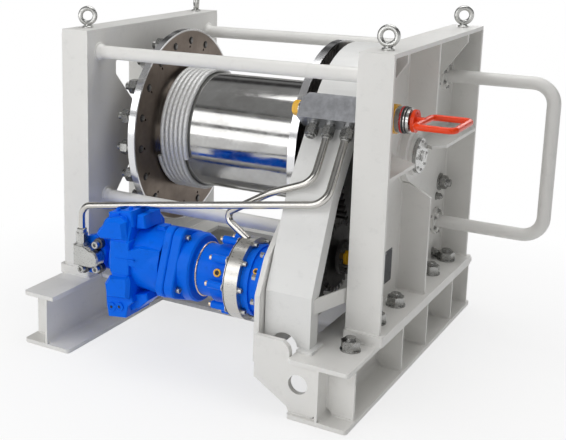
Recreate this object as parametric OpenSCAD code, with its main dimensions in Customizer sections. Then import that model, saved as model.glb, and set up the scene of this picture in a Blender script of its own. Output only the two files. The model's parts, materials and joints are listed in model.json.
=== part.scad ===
// Tugger winch: a hydraulic winch on two floor beams.
// X runs along the drum, Y from the motor side to the back, Z up from the floor.

/* [What to show] */
// Sub-part to build, or all of them

/* [Side frames] */
// Height of a side frame over its base plate
frame_h = 900; // [700:10:1200]
// Depth of a side frame, front to back
frame_d = 958; // [800:1:1200]
// Width of the outward flanges, over the web
flange_w = 115; // [90:1:160]
// Thickness of the web plates
web_t = 12; // [8:1:20]
// Thickness of the flange plates
flange_t = 14; // [8:1:20]
// Thickness of ribs, gussets and shelves
rib_t = 12; // [8:1:16]
// Distance of the upright rib from the front face
rib_y = 446; // [420:1:470]

/* [Floor beams] */
// Height of the floor beams
beam_h = 200; // [160:10:240]
// Flange width of the floor beams
beam_b = 200; // [160:10:240]
// Flange thickness of the floor beams
beam_tf = 15; // [10:1:20]
// Web thickness of the floor beams
beam_tw = 9; // [7:1:14]
// Root radius of the rolled sections
beam_r = 16; // [10:1:20]
// Length of beam in front of the frames
front_over = 248; // [150:1:300]
// Length of beam behind the frames
rear_over = 90; // [60:1:200]
// Thickness of the plate under each frame
base_t = 34; // [20:1:40]
// How far that plate reaches past the frame
base_lip = 12; // [6:1:20]

/* [Drum] */
// Height of the drum axis over the base plates
drum_up = 492; // [460:1:520]
// Distance of the drum axis from the front face
drum_y = 465; // [440:1:480]
// Radius of the barrel
barrel_r = 220; // [180:1:240]
// Wall of the barrel
barrel_wall = 16; // [10:1:25]
// Radius of the drum flanges
rim_r = 380; // [340:1:385]
// Thickness of the drum flanges
rim_t = 28; // [20:1:35]
// Gap from the left web to the left drum flange
left_gap = 118; // [100:1:140]
// Length of barrel between the drum flanges
spool_w = 613; // [500:1:700]
// Gap from the right drum flange to the right web, for the gears
right_gap = 237; // [220:1:260]
// Diameter of the wire rope
rope_d = 20; // [14:1:24]
// Turns of rope on the drum
rope_turns_n = 6; // [2:1:12]
// Radius of the drum shaft
shaft_r = 45; // [35:1:60]
// Bolts round a drum flange
rim_bolts = 18; // [12:1:24]
// Radius of their bolt circle
rim_bolt_r = 335; // [300:1:345]

/* [Gear train] */
// Tooth module
tooth_m = 8; // [6:1:10]
// Teeth of the gear on the drum
drum_teeth = 84; // [60:1:84]
// Teeth of the middle gear
idler_teeth = 29; // [24:1:32]
// Teeth of the pinion
pinion_teeth = 20; // [16:1:20]
// Width of the gears
gear_w = 90; // [50:5:100]
// Thinning of each tooth at the pitch circle
tooth_play = 0.5; // [0.2:0.1:1]
// Motor axis in front of the frames
motor_out = 60; // [40:1:80]
// Motor axis over the base plates
motor_up = 127; // [110:1:150]

/* [Gear cover] */
// Radius of the cover round the drum gear
cover_r = 376; // [360:1:390]
// Thickness of the cover sheet
cover_t = 6; // [4:1:10]
// Gap from the right drum flange to the cover
cover_gap = 33; // [25:1:45]
// Width of the cover
cover_w = 157; // [120:1:170]
// Reach of the cover in front of the frames
cover_out = 169; // [150:1:190]
// Depth of the return along its right edge
cover_return = 55; // [30:1:70]

/* [Drive] */
// Thickness of the motor plate
mplate_t = 18; // [12:1:25]
// Reach of the motor plate in front of the frames
mplate_out = 203; // [180:1:220]
// Radius of the ring flange
ring_r = 139; // [125:1:145]
// Radius of the gearbox
gearbox_r = 112; // [100:1:120]
// Radius of the brake housing
brake_r = 118; // [100:1:125]
// Radius of the motor casting
motor_r = 128; // [110:1:135]

/* [Tie rods, rail and rings] */
// Diameter of the tie tubes and of the rail
tube_d = 48; // [40:1:60]
// Distance of the upper tie tubes below the top of the frames
tie_down = 84; // [75:1:100]
// Distance of the outer ties from the front and back faces
tie_in = 78; // [60:1:100]
// Reach of the guard rail past the right web
rail_reach = 408; // [300:1:450]
// Outer diameter of the lifting rings
ring_od = 72; // [60:1:90]

/* [Hydraulics] */
// Diameter of the pipes
pipe_d = 25; // [18:1:30]
// Height of the valve over the base plates
valve_up = 686; // [670:1:700]
// Depth of the manifold block, from the cover outward
block_d = 70; // [50:1:80]
// Height of the manifold block along the cover
block_h = 90; // [70:1:100]

/* [Hidden] */
$fn = 64;
fit = 0.05;
seat = 0.3;
foot_z = beam_h + base_t;
top_z = foot_z + frame_h;
inner_w = left_gap + 2 * rim_t + spool_w + right_gap;
web_x = inner_w / 2;
edge_x = web_x + flange_w;
beam_x = web_x + 15;
beam_y0 = -front_over;
beam_y1 = frame_d + rear_over;
base_x1 = edge_x + 15;
drum_z = foot_z + drum_up;
rim_x0 = -web_x + left_gap;
spool_x0 = rim_x0 + rim_t;
spool_x1 = spool_x0 + spool_w;
rim_x1 = spool_x1 + rim_t;
cover_x = rim_x1 + cover_gap;
tube_r = tube_d / 2;
motor_y = -motor_out;
motor_z = foot_z + motor_up;
mplate_x1 = cover_x - 4;
mplate_x0 = mplate_x1 - mplate_t;
rail_x = web_x + rail_reach;
rail_y = frame_d - 108;
rail_bend = 75;
rail_top = top_z - 181;
rail_low = foot_z + 152;

// Slopes of the cover over the motor: steep below, then tangent to its round part.
slope_low = 66;
slope_top = 54;
face_n = [-sin(slope_top), cos(slope_top)];
valve_z = foot_z + valve_up;
valve_y = drum_y - (cover_r + block_d / 2 - face_n[1] * (valve_z - drum_z)) / sin(slope_top);

// Gear centres: the middle gear sits below the line from the drum to the motor.
drum_pr = tooth_m * drum_teeth / 2;
idler_pr = tooth_m * idler_teeth / 2;
pinion_pr = tooth_m * pinion_teeth / 2;
gear_x0 = cover_x + 32;
gear_x1 = gear_x0 + gear_w;
d_all = norm([drum_y - motor_y, drum_z - motor_z]);
d_low = idler_pr + pinion_pr;
d_top = idler_pr + drum_pr;
along = (d_low * d_low - d_top * d_top + d_all * d_all) / (2 * d_all);
aside = sqrt(d_low * d_low - along * along);
train_u = [(drum_y - motor_y) / d_all, (drum_z - motor_z) / d_all];
idler_y = motor_y + along * train_u[0] + aside * train_u[1];
idler_z = motor_z + along * train_u[1] - aside * train_u[0];
mesh_a = atan2(idler_z - drum_z, idler_y - drum_y);
mesh_b = atan2(motor_z - idler_z, motor_y - idler_y);
idler_turn = mesh_a + 180 + mesh_a * drum_teeth / idler_teeth - 180 / idler_teeth;
pinion_turn = mesh_b + 180 - (idler_turn - mesh_b) * idler_teeth / pinion_teeth - 180 / pinion_teeth;

// The origin is under the middle of the whole winch, on the floor.
reach_left = -base_x1;
reach_right = rail_x + tube_r;
origin = [(reach_left + reach_right) / 2, (beam_y0 + beam_y1) / 2, 0];

white = [0.80, 0.80, 0.79];
blue = [0.02, 0.30, 0.82];
zinc = [0.72, 0.72, 0.70];
steel = [0.60, 0.60, 0.62];
dark = [0.20, 0.20, 0.21];
orange = [0.95, 0.25, 0.08];
yellow = [0.95, 0.65, 0.05];

// General shapes

module at_part() {
  translate(-origin) children();
}

// Turns a flat shape drawn in Y and Z into a plate from x0 to x1.
module yz_plate(x0, x1) {
  translate([x0, 0, 0]) rotate([90, 0, 90]) linear_extrude(x1 - x0) children();
}

// Turns a flat shape drawn in X and Z into a plate from y0 to y1.
module xz_plate(y0, y1) {
  translate([0, y1, 0]) rotate([90, 0, 0]) linear_extrude(y1 - y0) children();
}

module box(a, b) {
  translate(a) cube(b - a);
}

module x_rod(x0, x1, y, z, r) {
  translate([x0, y, z]) rotate([0, 90, 0]) cylinder(r = r, h = x1 - x0);
}

module x_cone(x0, x1, y, z, r0, r1) {
  translate([x0, y, z]) rotate([0, 90, 0]) cylinder(r1 = r0, r2 = r1, h = x1 - x0);
}

module x_tube(x0, x1, y, z, r, bore) {
  difference() {
    x_rod(x0, x1, y, z, r);
    x_rod(x0 - 1, x1 + 1, y, z, bore);
  }
}

// Rectangle from corner a to corner b with round corners.
module round_rect(a, b, r) {
  translate([a[0] + r, a[1]]) square([b[0] - a[0] - 2 * r, b[1] - a[1]]);
  translate([a[0], a[1] + r]) square([b[0] - a[0], b[1] - a[1] - 2 * r]);
  for (x = [a[0] + r, b[0] - r], y = [a[1] + r, b[1] - r]) translate([x, y]) circle(r);
}

module round_plate(a, b, z0, z1, r) {
  translate([0, 0, z0]) linear_extrude(z1 - z0) round_rect(a, b, r);
}

module hex_x(x0, x1, y, z, af, turn = 0) {
  translate([x0, y, z]) rotate([0, 90, 0]) rotate([0, 0, turn])
    cylinder(d = af / cos(30), h = x1 - x0, $fn = 6);
}

// Root fillet of a rolled section, in the corner at the origin.
module root(r) {
  difference() {
    square(r);
    translate([r, r]) circle(r);
  }
}

function turned(r, a) = [r * cos(a), r * sin(a)];

// Beams and base

// Rolled beam along Y with its middle at x.
module long_beam(x, y0, y1) {
  round_plate([x - beam_b / 2, y0], [x + beam_b / 2, y1], 0, beam_tf, 12);
  round_plate([x - beam_b / 2, y0], [x + beam_b / 2, y1], beam_h - beam_tf, beam_h, 12);
  box([x - beam_tw / 2, y0, beam_tf], [x + beam_tw / 2, y1, beam_h - beam_tf]);
  for (side = [-1, 1], up = [-1, 1])
    xz_plate(y0 + 14, y1 - 14)
      translate([x + side * beam_tw / 2, beam_h / 2 - up * (beam_h / 2 - beam_tf)])
        mirror([side < 0 ? 1 : 0, 0]) mirror([0, up < 0 ? 1 : 0]) root(beam_r);
}

trim_x = -web_x + 18;

module left_beam() {
  color(white) at_part() difference() {
    long_beam(-beam_x, beam_y0, beam_y1);
    box([trim_x, beam_y0 - 1, beam_h - beam_tf - 1], [-beam_x + beam_b / 2 + 1, 60, beam_h + 1]);
  }
}

module right_beam() {
  color(white) at_part() long_beam(beam_x, beam_y0, beam_y1);
}

// Upright plates between the flanges, on the outer side of each long beam.
beam_rib_y = [beam_y0 + 77, 257, 515, frame_d - 147, beam_y1 - 28];

module beam_ribs() {
  color(white) at_part() for (side = [-1, 1], y = beam_rib_y) mirror([side < 0 ? 1 : 0, 0, 0])
    translate([beam_x + beam_tw / 2, y - 5, beam_tf]) difference() {
      cube([beam_b / 2 - beam_tw / 2 - 6, 10, beam_h - 2 * beam_tf]);
      for (z = [0, beam_h - 2 * beam_tf]) translate([0, -1, z]) rotate([-90, 0, 0])
        cylinder(r = beam_r + 3, h = 12);
    }
}

cross_y = [490, beam_y1 - beam_b / 2];
cross_half = beam_x - beam_b / 2;

module cross_beams() {
  color(white) at_part() for (y = cross_y) {
    for (z = [0, beam_h - beam_tf])
      box([-cross_half, y - beam_b / 2, z], [cross_half, y + beam_b / 2, z + beam_tf]);
    box([-cross_half, y - beam_tw / 2, beam_tf], [cross_half, y + beam_tw / 2, beam_h - beam_tf]);
    box([-beam_x + beam_tw / 2, y - beam_tw / 2, beam_tf + beam_r],
        [beam_x - beam_tw / 2, y + beam_tw / 2, beam_h - beam_tf - beam_r]);
    for (side = [-1, 1], up = [-1, 1])
      yz_plate(-cross_half, cross_half)
        translate([y + side * beam_tw / 2, beam_h / 2 - up * (beam_h / 2 - beam_tf)])
          mirror([side < 0 ? 1 : 0, 0]) mirror([0, up < 0 ? 1 : 0]) root(beam_r);
  }
}

module base_plates() {
  color(white) at_part() for (side = [0, 1]) mirror([side, 0, 0])
    round_plate([web_x - 4, -base_lip], [base_x1, frame_d + base_lip], beam_h, foot_z, 10);
}

bolt_x = web_x + 65;
bolt_y = [frame_d / 2 - 375, frame_d / 2 - 190, frame_d / 2 + 190, frame_d / 2 + 375];
nut_af = 55;
nut_h = 29;

module nut_stack(x, y, z, af, h, d) {
  translate([x, y, z]) {
    cylinder(r = af * 0.6, h = 5);
    translate([0, 0, 5]) rotate([0, 0, 15]) cylinder(d = af / cos(30), h = h, $fn = 6);
    translate([0, 0, 5 + h]) cylinder(d = d, h = 10);
  }
}

module base_bolts() {
  color(zinc) at_part() {
    for (side = [-1, 1], y = bolt_y) nut_stack(side * bolt_x, y, foot_z, nut_af, nut_h, 36);
    nut_stack(web_x + 50, -75, beam_h, nut_af, nut_h, 36);
  }
}

// Side frames

hub_bore = 96;
ring_hole = [[-270, 270], [-50, 270], [-50, 225], [-160, 124], [-270, 236]];

module web_sheet() {
  difference() {
    square([frame_d - 2 * flange_t, frame_h - flange_t]);
    translate([drum_y - flange_t, drum_up]) circle(hub_bore);
  }
}

// Round-cornered opening between two spokes of the left web.
module web_opening() {
  pts = ring_hole;
  hull() for (p = pts) translate(p) circle(r = 14, $fn = 24);
}

module left_web() {
  color(white) at_part() yz_plate(-web_x - web_t, -web_x) translate([flange_t, foot_z]) difference() {
    web_sheet();
    for (front = [0, 1], up = [0, 1])
      translate([drum_y - flange_t, drum_up]) mirror([front, 0]) mirror([0, up]) web_opening();
  }
}

module right_web() {
  color(white) at_part() difference() {
    yz_plate(web_x, web_x + web_t) translate([flange_t, foot_z]) web_sheet();
    x_rod(web_x - 1, web_x + web_t + 1, valve_y, valve_z, collar_r + seat);
  }
}

// Front, back and top flange of one side frame, drawn on the right.
module frame_flanges() {
  box([web_x, 0, foot_z], [edge_x, flange_t, top_z - flange_t]);
  box([web_x, frame_d - flange_t, foot_z], [edge_x, frame_d, top_z - flange_t]);
  round_plate([web_x, 0], [edge_x, frame_d], top_z - flange_t, top_z, 3);
}

module left_flanges() {
  color(white) at_part() mirror([1, 0, 0]) frame_flanges();
}

module right_flanges() {
  color(white) at_part() frame_flanges();
}

gusset_y = [124, frame_d - 193];
gusset_drop = 165;
shelf_up = 507;
rib_top = frame_h - 260;
rib_low = 353;

// Ribs, gussets and shelves on the outer side of one web, drawn on the right.
module stiffeners() {
  x0 = web_x + web_t;
  z1 = top_z - flange_t;
  xz_plate(rib_y - rib_t / 2, rib_y + rib_t / 2)
    polygon([[x0, z1], [edge_x, z1], [edge_x, foot_z + rib_top], [x0, foot_z + rib_top - 20]]);
  xz_plate(rib_y - rib_t / 2, rib_y + rib_t / 2)
    polygon([[x0, foot_z], [edge_x, foot_z], [edge_x, foot_z + rib_low],
             [x0 + 24, foot_z + rib_low + 42], [x0, foot_z + rib_low + 42]]);
  for (y = gusset_y) xz_plate(y - rib_t / 2, y + rib_t / 2)
    polygon([[x0, z1], [edge_x, z1], [edge_x, z1 - 26], [x0 + 6, z1 - gusset_drop], [x0, z1 - gusset_drop]]);
  translate([0, 0, foot_z + shelf_up - rib_t / 2]) linear_extrude(rib_t) {
    polygon([[x0, flange_t], [edge_x, flange_t], [edge_x, 250], [x0, 333]]);
    polygon([[x0, frame_d - flange_t], [edge_x, frame_d - flange_t], [edge_x, frame_d - 368],
             [x0 + 66, frame_d - 418], [x0, frame_d - 368]]);
  }
}

module left_stiffeners() {
  color(white) at_part() mirror([1, 0, 0]) stiffeners();
}

module right_stiffeners() {
  color(white) at_part() stiffeners();
}

// Tie rods, rings and rail

tie_z = top_z - tie_down;
low_front = [122, foot_z + 260];
low_rear = [frame_d - tie_in, foot_z + 300];
cup_r = 33;

module tie_tube(x0, x1, y, z) {
  x_rod(x0, x1, y, z, tube_r);
  x_cone(x0, x0 + 20, y, z, cup_r, tube_r);
  x_cone(x1 - 20, x1, y, z, tube_r, cup_r);
}

module upper_ties() {
  color(white) at_part() for (y = [tie_in, frame_d - tie_in]) tie_tube(-web_x, web_x, y, tie_z);
}

module lower_front_tie() {
  color(white) at_part() tie_tube(-web_x, mplate_x0, low_front[0], low_front[1]);
}

module lower_rear_tie() {
  color(white) at_part() tie_tube(-web_x, web_x, low_rear[0], low_rear[1]);
}

module tie_bolt(y, z) {
  x0 = web_x + web_t;
  x_rod(x0, x0 + 6, y, z, 34);
  hex_x(x0 + 6, x0 + 30, y, z, 46);
  x_rod(x0 + 30, x0 + 44, y, z, 15);
}

module tie_bolts() {
  color(zinc) at_part() for (side = [0, 1]) mirror([side, 0, 0]) {
    tie_bolt(tie_in, tie_z);
    tie_bolt(frame_d - tie_in, tie_z);
    tie_bolt(low_rear[0], low_rear[1]);
    if (side == 1) tie_bolt(low_front[0], low_front[1]);
  }
}

eye_wire = 16;
eye_up = 44;
eye_x = web_x + 61;
eye_rear = frame_d - 78;
eye_turns = [[1, 88, -30], [1, eye_rear, -20], [-1, 88, -25], [-1, eye_rear, 60]];

module eye_bolt() {
  cylinder(r = 20, h = 8);
  translate([0, 0, 8]) cylinder(r1 = 15, r2 = 11, h = eye_up - ring_od / 2 + 6);
  translate([0, 0, eye_up]) rotate([90, 0, 0]) rotate_extrude()
    translate([(ring_od - eye_wire) / 2, 0]) circle(d = eye_wire, $fn = 32);
}

module eye_bolts() {
  color(zinc) at_part() for (e = eye_turns)
    translate([e[0] * eye_x, e[1], top_z]) rotate([0, 0, e[2]]) eye_bolt();
}

module rail_elbow(x, z, turn) {
  translate([x, rail_y, z]) rotate([90, 0, 0]) rotate([0, 0, turn]) rotate_extrude(angle = 90)
    translate([rail_bend, 0]) circle(r = tube_r);
}

module guard_rail() {
  x0 = web_x + web_t;
  xb = rail_x - rail_bend;
  color(white) at_part() {
    for (z = [rail_low, rail_top]) {
      x_rod(x0 + 12, xb, rail_y, z, tube_r);
      x_rod(x0, x0 + 12, rail_y, z, 52);
      for (k = [0:3]) hex_x(x0 + 12, x0 + 22, rail_y + 39 * cos(45 + 90 * k), z + 39 * sin(45 + 90 * k), 18);
    }
    rail_elbow(xb, rail_top - rail_bend, 0);
    rail_elbow(xb, rail_low + rail_bend, 270);
    translate([rail_x, rail_y, rail_low + rail_bend])
      cylinder(r = tube_r, h = rail_top - rail_low - 2 * rail_bend);
  }
}

// Bearings of the drum shaft

boss_out = 41;
cap_t = 15;
cap_r = 62;
shaft_end = web_x + web_t + boss_out - 4;

module bearing_housing() {
  x1 = web_x + web_t + boss_out;
  difference() {
    union() {
      x_rod(web_x - 30, web_x, drum_y, drum_z, 125);
      x_rod(web_x, x1 - 12, drum_y, drum_z, hub_bore - seat);
      x_rod(x1 - 12, x1, drum_y, drum_z, 72);
    }
    x_rod(web_x - 31, x1 + 1, drum_y, drum_z, shaft_r + fit);
  }
}

module bearing_housings() {
  color(white) at_part() for (side = [0, 1]) mirror([side, 0, 0]) bearing_housing();
}

module bearing_cap() {
  x0 = web_x + web_t + boss_out;
  x_rod(x0, x0 + cap_t, drum_y, drum_z, cap_r);
  for (k = [0:7]) x_rod(x0 + cap_t, x0 + cap_t + 4, drum_y + 50 * cos(45 * k), drum_z + 50 * sin(45 * k), 5);
  hex_x(x0 + cap_t, x0 + cap_t + 9, drum_y, drum_z, 34);
}

module bearing_caps() {
  color(steel) at_part() for (side = [0, 1]) mirror([side, 0, 0]) bearing_cap();
}

// Gear case

// Outline of the cover, drawn in Y and Z and set in by d.
function cover_line(d) =
  let (yv = d - cover_out, r = cover_r - d, n = [-sin(slope_low), cos(slope_low)],
       low = [-cover_out, foot_z + 143.5], c = [drum_y, drum_z],
       k1 = n[0] * low[0] + n[1] * low[1] - d,
       k2 = face_n[0] * c[0] + face_n[1] * c[1] + r,
       z1 = (k1 - n[0] * yv) / n[1],
       det = n[0] * face_n[1] - n[1] * face_n[0],
       bend = [(k1 * face_n[1] - k2 * n[1]) / det, (n[0] * k2 - face_n[0] * k1) / det])
  concat([[yv, z1], bend],
         [for (a = [90 + slope_top : -6 : 0]) c + turned(r, a)]);

cover_z0 = beam_h + 10;
cover_back = foot_z + 170;

foot_hole = [cover_x + 70, beam_h + 2];
foot_hole_r = 45;

module gear_cover() {
  x1 = cover_x + cover_w;
  color(white) at_part() difference() {
    union() {
      yz_plate(cover_x, x1) difference() {
        cover_shell(0);
        cover_shell(cover_t);
      }
      yz_plate(x1 - cover_t, x1) difference() {
        cover_shell(0);
        cover_shell(cover_return);
      }
      box([cover_x + cover_w - 36, -cover_out - 20, beam_h], [x1 + 16, -cover_out + 70, cover_z0]);
    }
    translate([foot_hole[0], -cover_out - 30, foot_hole[1]]) rotate([-90, 0, 0])
      cylinder(r = foot_hole_r, h = 60);
  }
}

// The space inside the cover: open below and behind.
module cover_shell(d) {
  line = cover_line(d);
  z0 = d == 0 ? cover_z0 : cover_z0 - 1;
  zb = d == 0 ? cover_back : cover_back - 1;
  polygon(concat([[d - cover_out, z0]], line, [[drum_y + cover_r - d, zb], [300, zb], [300, z0]]));
}

module cover_strut() {
  x1 = cover_x + cover_w;
  color(white) at_part() {
    translate([0, 0, foot_z + 86]) linear_extrude(50)
      polygon([[x1, cover_return - cover_out - 16], [x1, cover_return - cover_out - 36],
               [web_x, 24], [web_x, 44]]);
    box([x1, drum_y - 30, drum_z + cover_r - 14], [web_x, drum_y + 30, drum_z + cover_r - 4]);
    box([x1, drum_y + cover_r - 14, drum_z - 30], [web_x, drum_y + cover_r - 4, drum_z + 30]);
  }
}

module motor_plate() {
  zt = foot_z + 330;
  color(white) at_part() difference() {
    yz_plate(mplate_x0, mplate_x1)
      polygon([[-mplate_out, beam_h - 61], [-mplate_out, foot_z + 130], [-mplate_out + 60, foot_z + 240],
               [-40, zt], [300, zt], [cross_y[0] + 70, beam_h + 60], [cross_y[0] + 70, beam_h],
               [cross_y[0] - beam_b / 2, beam_h], [cross_y[0] - beam_b / 2, beam_h - 61]]);
    x_rod(mplate_x0 - 1, mplate_x1 + 1, motor_y, motor_z, pilot_r + seat);
    x_rod(mplate_x0 - 1, mplate_x1 + 1, idler_y, idler_z, idler_shaft_r + fit);
  }
}

lug_y = beam_y0 + 18;
lug_t = 20;
lug_hole = [beam_x - 71, 114];
lug_hole_r = 32;

module lifting_lug() {
  xw = beam_x - beam_tw / 2;
  xf = beam_x - beam_b / 2;
  color(white) at_part() xz_plate(lug_y, lug_y + lug_t) difference() {
    polygon([[mplate_x1, 104], [mplate_x1, 246], [mplate_x1 + 96, 246], [xf - 8, 230], [xf - 2, 214],
             [xf - 2, beam_h - beam_tf], [xw - beam_r, beam_h - beam_tf], [xw, beam_h - beam_tf - beam_r],
             [xw, beam_tf + beam_r], [xw - beam_r, beam_tf], [xf, beam_tf], [xf - 6, 32]]);
    translate(lug_hole) circle(lug_hole_r);
  }
}

idler_shaft_r = 30;
idler_end = gear_x1 + 12;

module idler_shaft() {
  color(dark) at_part() {
    x_rod(mplate_x0 - 6, idler_end, idler_y, idler_z, idler_shaft_r);
    x_rod(idler_end, idler_end + 12, idler_y, idler_z, 58);
    for (k = [0:7])
      hex_x(idler_end + 12, idler_end + 20, idler_y + 46 * cos(45 * k), idler_z + 46 * sin(45 * k), 16);
  }
}

module idler_cap() {
  color(yellow) at_part() {
    x_rod(idler_end + 12, idler_end + 24, idler_y, idler_z, 24);
    x_cone(idler_end + 24, idler_end + 30, idler_y, idler_z, 24, 15);
  }
}

// Gears

// Half angle of a tooth at radius r, for pitch radius pr: an involute at 20 degrees.
function inv_a(a) = tan(a) * 180 / PI - a;
function tooth_half(r, pr, n) =
  let (rb = pr * cos(20), a = r > rb ? acos(rb / r) : 0)
  90 / n - tooth_play / 2 / pr * 180 / PI + inv_a(20) - inv_a(a);

function gear_points(n) =
  let (pr = tooth_m * n / 2, ra = pr + tooth_m, rf = pr - 1.25 * tooth_m,
       rr = [rf, max(rf + 2, pr - 0.6 * tooth_m), pr, ra])
  [for (k = [0 : n - 1]) each concat(
    [for (i = [0 : 3]) turned(rr[i], 360 * k / n - tooth_half(rr[i], pr, n))],
    [for (i = [3 : -1 : 0]) turned(rr[i], 360 * k / n + tooth_half(rr[i], pr, n))])];

module gear_disc(n, turn, y, z) {
  translate([gear_x0, y, z]) rotate([90, 0, 90]) linear_extrude(gear_w)
    rotate(turn) polygon(gear_points(n));
}

module drum_gear() {
  color(dark) at_part() difference() {
    gear_disc(drum_teeth, 0, drum_y, drum_z);
    x_rod(gear_x0 - 1, gear_x1 + 1, drum_y, drum_z, shaft_r + fit);
  }
}

module gear_hub() {
  color(dark) at_part() x_tube(rim_x1, gear_x0, drum_y, drum_z, 150, shaft_r + fit);
}

module idler_gear() {
  color(dark) at_part() difference() {
    gear_disc(idler_teeth, idler_turn, idler_y, idler_z);
    x_rod(gear_x0 - 1, gear_x1 + 1, idler_y, idler_z, idler_shaft_r + fit);
  }
}

pinion_shaft_r = 28;
pilot_r = 80;

module pinion() {
  color(dark) at_part() {
    gear_disc(pinion_teeth, pinion_turn, motor_y, motor_z);
    x_rod(mplate_x0 - 40, gear_x1 + 10, motor_y, motor_z, pinion_shaft_r);
  }
}

// Drum

module drum_barrel() {
  color(steel) at_part() x_tube(spool_x0, spool_x1, drum_y, drum_z, barrel_r, barrel_r - barrel_wall);
}

module rim_disc(x0) {
  difference() {
    x_rod(x0, x0 + rim_t, drum_y, drum_z, rim_r);
    x_rod(x0 - 1, x0 + rim_t + 1, drum_y, drum_z, shaft_r + fit);
    children();
  }
}

module drum_left_flange() {
  color(steel) at_part() rim_disc(rim_x0)
    for (k = [0 : rim_bolts - 1]) translate([rim_x0 - 1, drum_y, drum_z])
      rotate([360 * (k + 0.35) / rim_bolts, 0, 0]) translate([0, rim_bolt_r - 24, 0])
        rotate([0, 90, 0]) cylinder(r = 5, h = rim_t + 2, $fn = 24);
}

module drum_right_flange() {
  color(steel) at_part() rim_disc(spool_x1);
}

rope_x0 = spool_x0 + 8;

// The turns of rope, as one scalloped sleeve on the barrel.
module rope_turns() {
  r0 = barrel_r + seat;
  color([0.75, 0.75, 0.74]) at_part() translate([rope_x0, drum_y, drum_z]) rotate([0, 90, 0])
    rotate_extrude() {
      translate([r0, rope_d / 2]) square([rope_d / 2, rope_d * (rope_turns_n - 1)]);
      for (k = [0 : rope_turns_n - 1]) translate([r0 + rope_d / 2, rope_d * (k + 0.5)])
        circle(d = rope_d, $fn = 32);
    }
}

module drum_bolts() {
  color(zinc) at_part() for (k = [0 : rim_bolts - 1]) translate([rim_x0, drum_y, drum_z])
    rotate([360 * k / rim_bolts + 6, 0, 0]) translate([0, rim_bolt_r, 0]) {
      hex_x(-22, 0, 0, 0, 36, 20);
      x_rod(-34, -22, 0, 0, 12);
    }
}

module drum_shaft() {
  color(steel) at_part() x_rod(-shaft_end, shaft_end, drum_y, drum_z, shaft_r);
}

// Drive train in front of the drum, from the motor plate to the left

gbox_x0 = mplate_x0 - 54;
ring_x1 = gbox_x0 - 14;
ring_x0 = ring_x1 - 53;
neck_x1 = ring_x0 - 70;
brake_x1 = neck_x1 - 70;
brake_x0 = brake_x1 - 85;
mflange_x0 = brake_x0 - 50;
body_x0 = mflange_x0 - 318;

module gearbox() {
  color(blue) at_part() difference() {
    union() {
      x_rod(gbox_x0 - 14, gbox_x0, motor_y, motor_z, gearbox_r + 5);
      x_rod(gbox_x0, mplate_x0, motor_y, motor_z, gearbox_r);
      x_rod(gbox_x0, gbox_x0 + 14, motor_y, motor_z, gearbox_r + 8);
      x_rod(mplate_x0 - 12, mplate_x0, motor_y, motor_z, 128);
      x_rod(mplate_x0, mplate_x1, motor_y, motor_z, pilot_r);
    }
    x_rod(mplate_x0 - 42, mplate_x1 + 1, motor_y, motor_z, pinion_shaft_r + fit);
  }
}

// The last three points of the short pipe, which ends in a bore of the ring flange.
short_m = [cover_x - 50, -60, foot_z + 429];
short_c = [ring_x0 - 88, -40, foot_z + 321];
short_end = [ring_x0 + 21, motor_y - 2, motor_z + ring_r - 6];
short_u = unit(short_end - short_c);

module ring_flange() {
  color(zinc) at_part() difference() {
    union() {
      x_rod(ring_x0, ring_x0 + 6, motor_y, motor_z, ring_r - 2);
      x_rod(ring_x0 + 6, ring_x1, motor_y, motor_z, ring_r);
    }
    translate(short_end) rotate([0, acos(short_u[2]), atan2(short_u[1], short_u[0])])
      translate([0, 0, -60]) cylinder(r = pipe_d / 2 + fit, h = 60 + seat);
  }
}

lug_bolts = 9;
lug_r = 13;

module brake_housing() {
  color(blue) at_part() {
    x_rod(neck_x1, ring_x0, motor_y, motor_z, 102);
    x_rod(brake_x1, neck_x1, motor_y, motor_z, 90);
    x_rod(brake_x0, brake_x1 - 6, motor_y, motor_z, brake_r);
    x_cone(brake_x1 - 6, brake_x1, motor_y, motor_z, brake_r, brake_r - 6);
    for (k = [0 : lug_bolts - 1]) translate([ring_x0 - 57, motor_y, motor_z])
      rotate([360 * (k + 0.5) / lug_bolts, 0, 0]) translate([0, ring_r - lug_r, 0]) rotate([0, 90, 0])
        cylinder(r = lug_r, h = 57, $fn = 24);
  }
}

// Square with cut corners, drawn in Y and Z round the motor axis.
module cut_square(h, w, c) {
  translate([motor_y, motor_z])
    polygon([[-w / 2, c - h / 2], [c - w / 2, -h / 2], [w / 2 - c, -h / 2], [w / 2, c - h / 2],
             [w / 2, h / 2 - c], [w / 2 - c, h / 2], [c - w / 2, h / 2], [-w / 2, h / 2 - c]]);
}

module motor_flange() {
  w = 2 * motor_r;
  color(blue) at_part() {
    yz_plate(mflange_x0, mflange_x0 + 26) cut_square(w, w - 20, 44);
    yz_plate(mflange_x0 + 26, brake_x0) cut_square(w - 6, w - 26, 48);
  }
}

// The end block with its shoulders, the round casting, and the slab and collar round it.
module motor_body() {
  x1 = mflange_x0;
  w = 2 * motor_r;
  color(blue) at_part() {
    x_rod(body_x0 + 90, x1, motor_y, motor_z, motor_r - 8);
    x_cone(x1 - 60, x1, motor_y, motor_z, motor_r - 8, motor_r - 2);
    box([body_x0 + 90, motor_y - motor_r, motor_z - 38], [x1, motor_y + motor_r, motor_z + 38]);
    yz_plate(body_x0, body_x0 + 36) cut_square(w, w - 4, 54);
    yz_plate(body_x0 + 36, body_x0 + 88) cut_square(w + 4, w, 70);
    yz_plate(body_x0 + 88, body_x0 + 106) cut_square(w - 18, w - 6, 84);
    yz_plate(x1 - 66, x1 - 2) cut_square(w - 10, w - 28, 52);
    yz_plate(body_x0 - 26, body_x0) cut_square(w - 106, w - 96, 40);
  }
}

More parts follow.
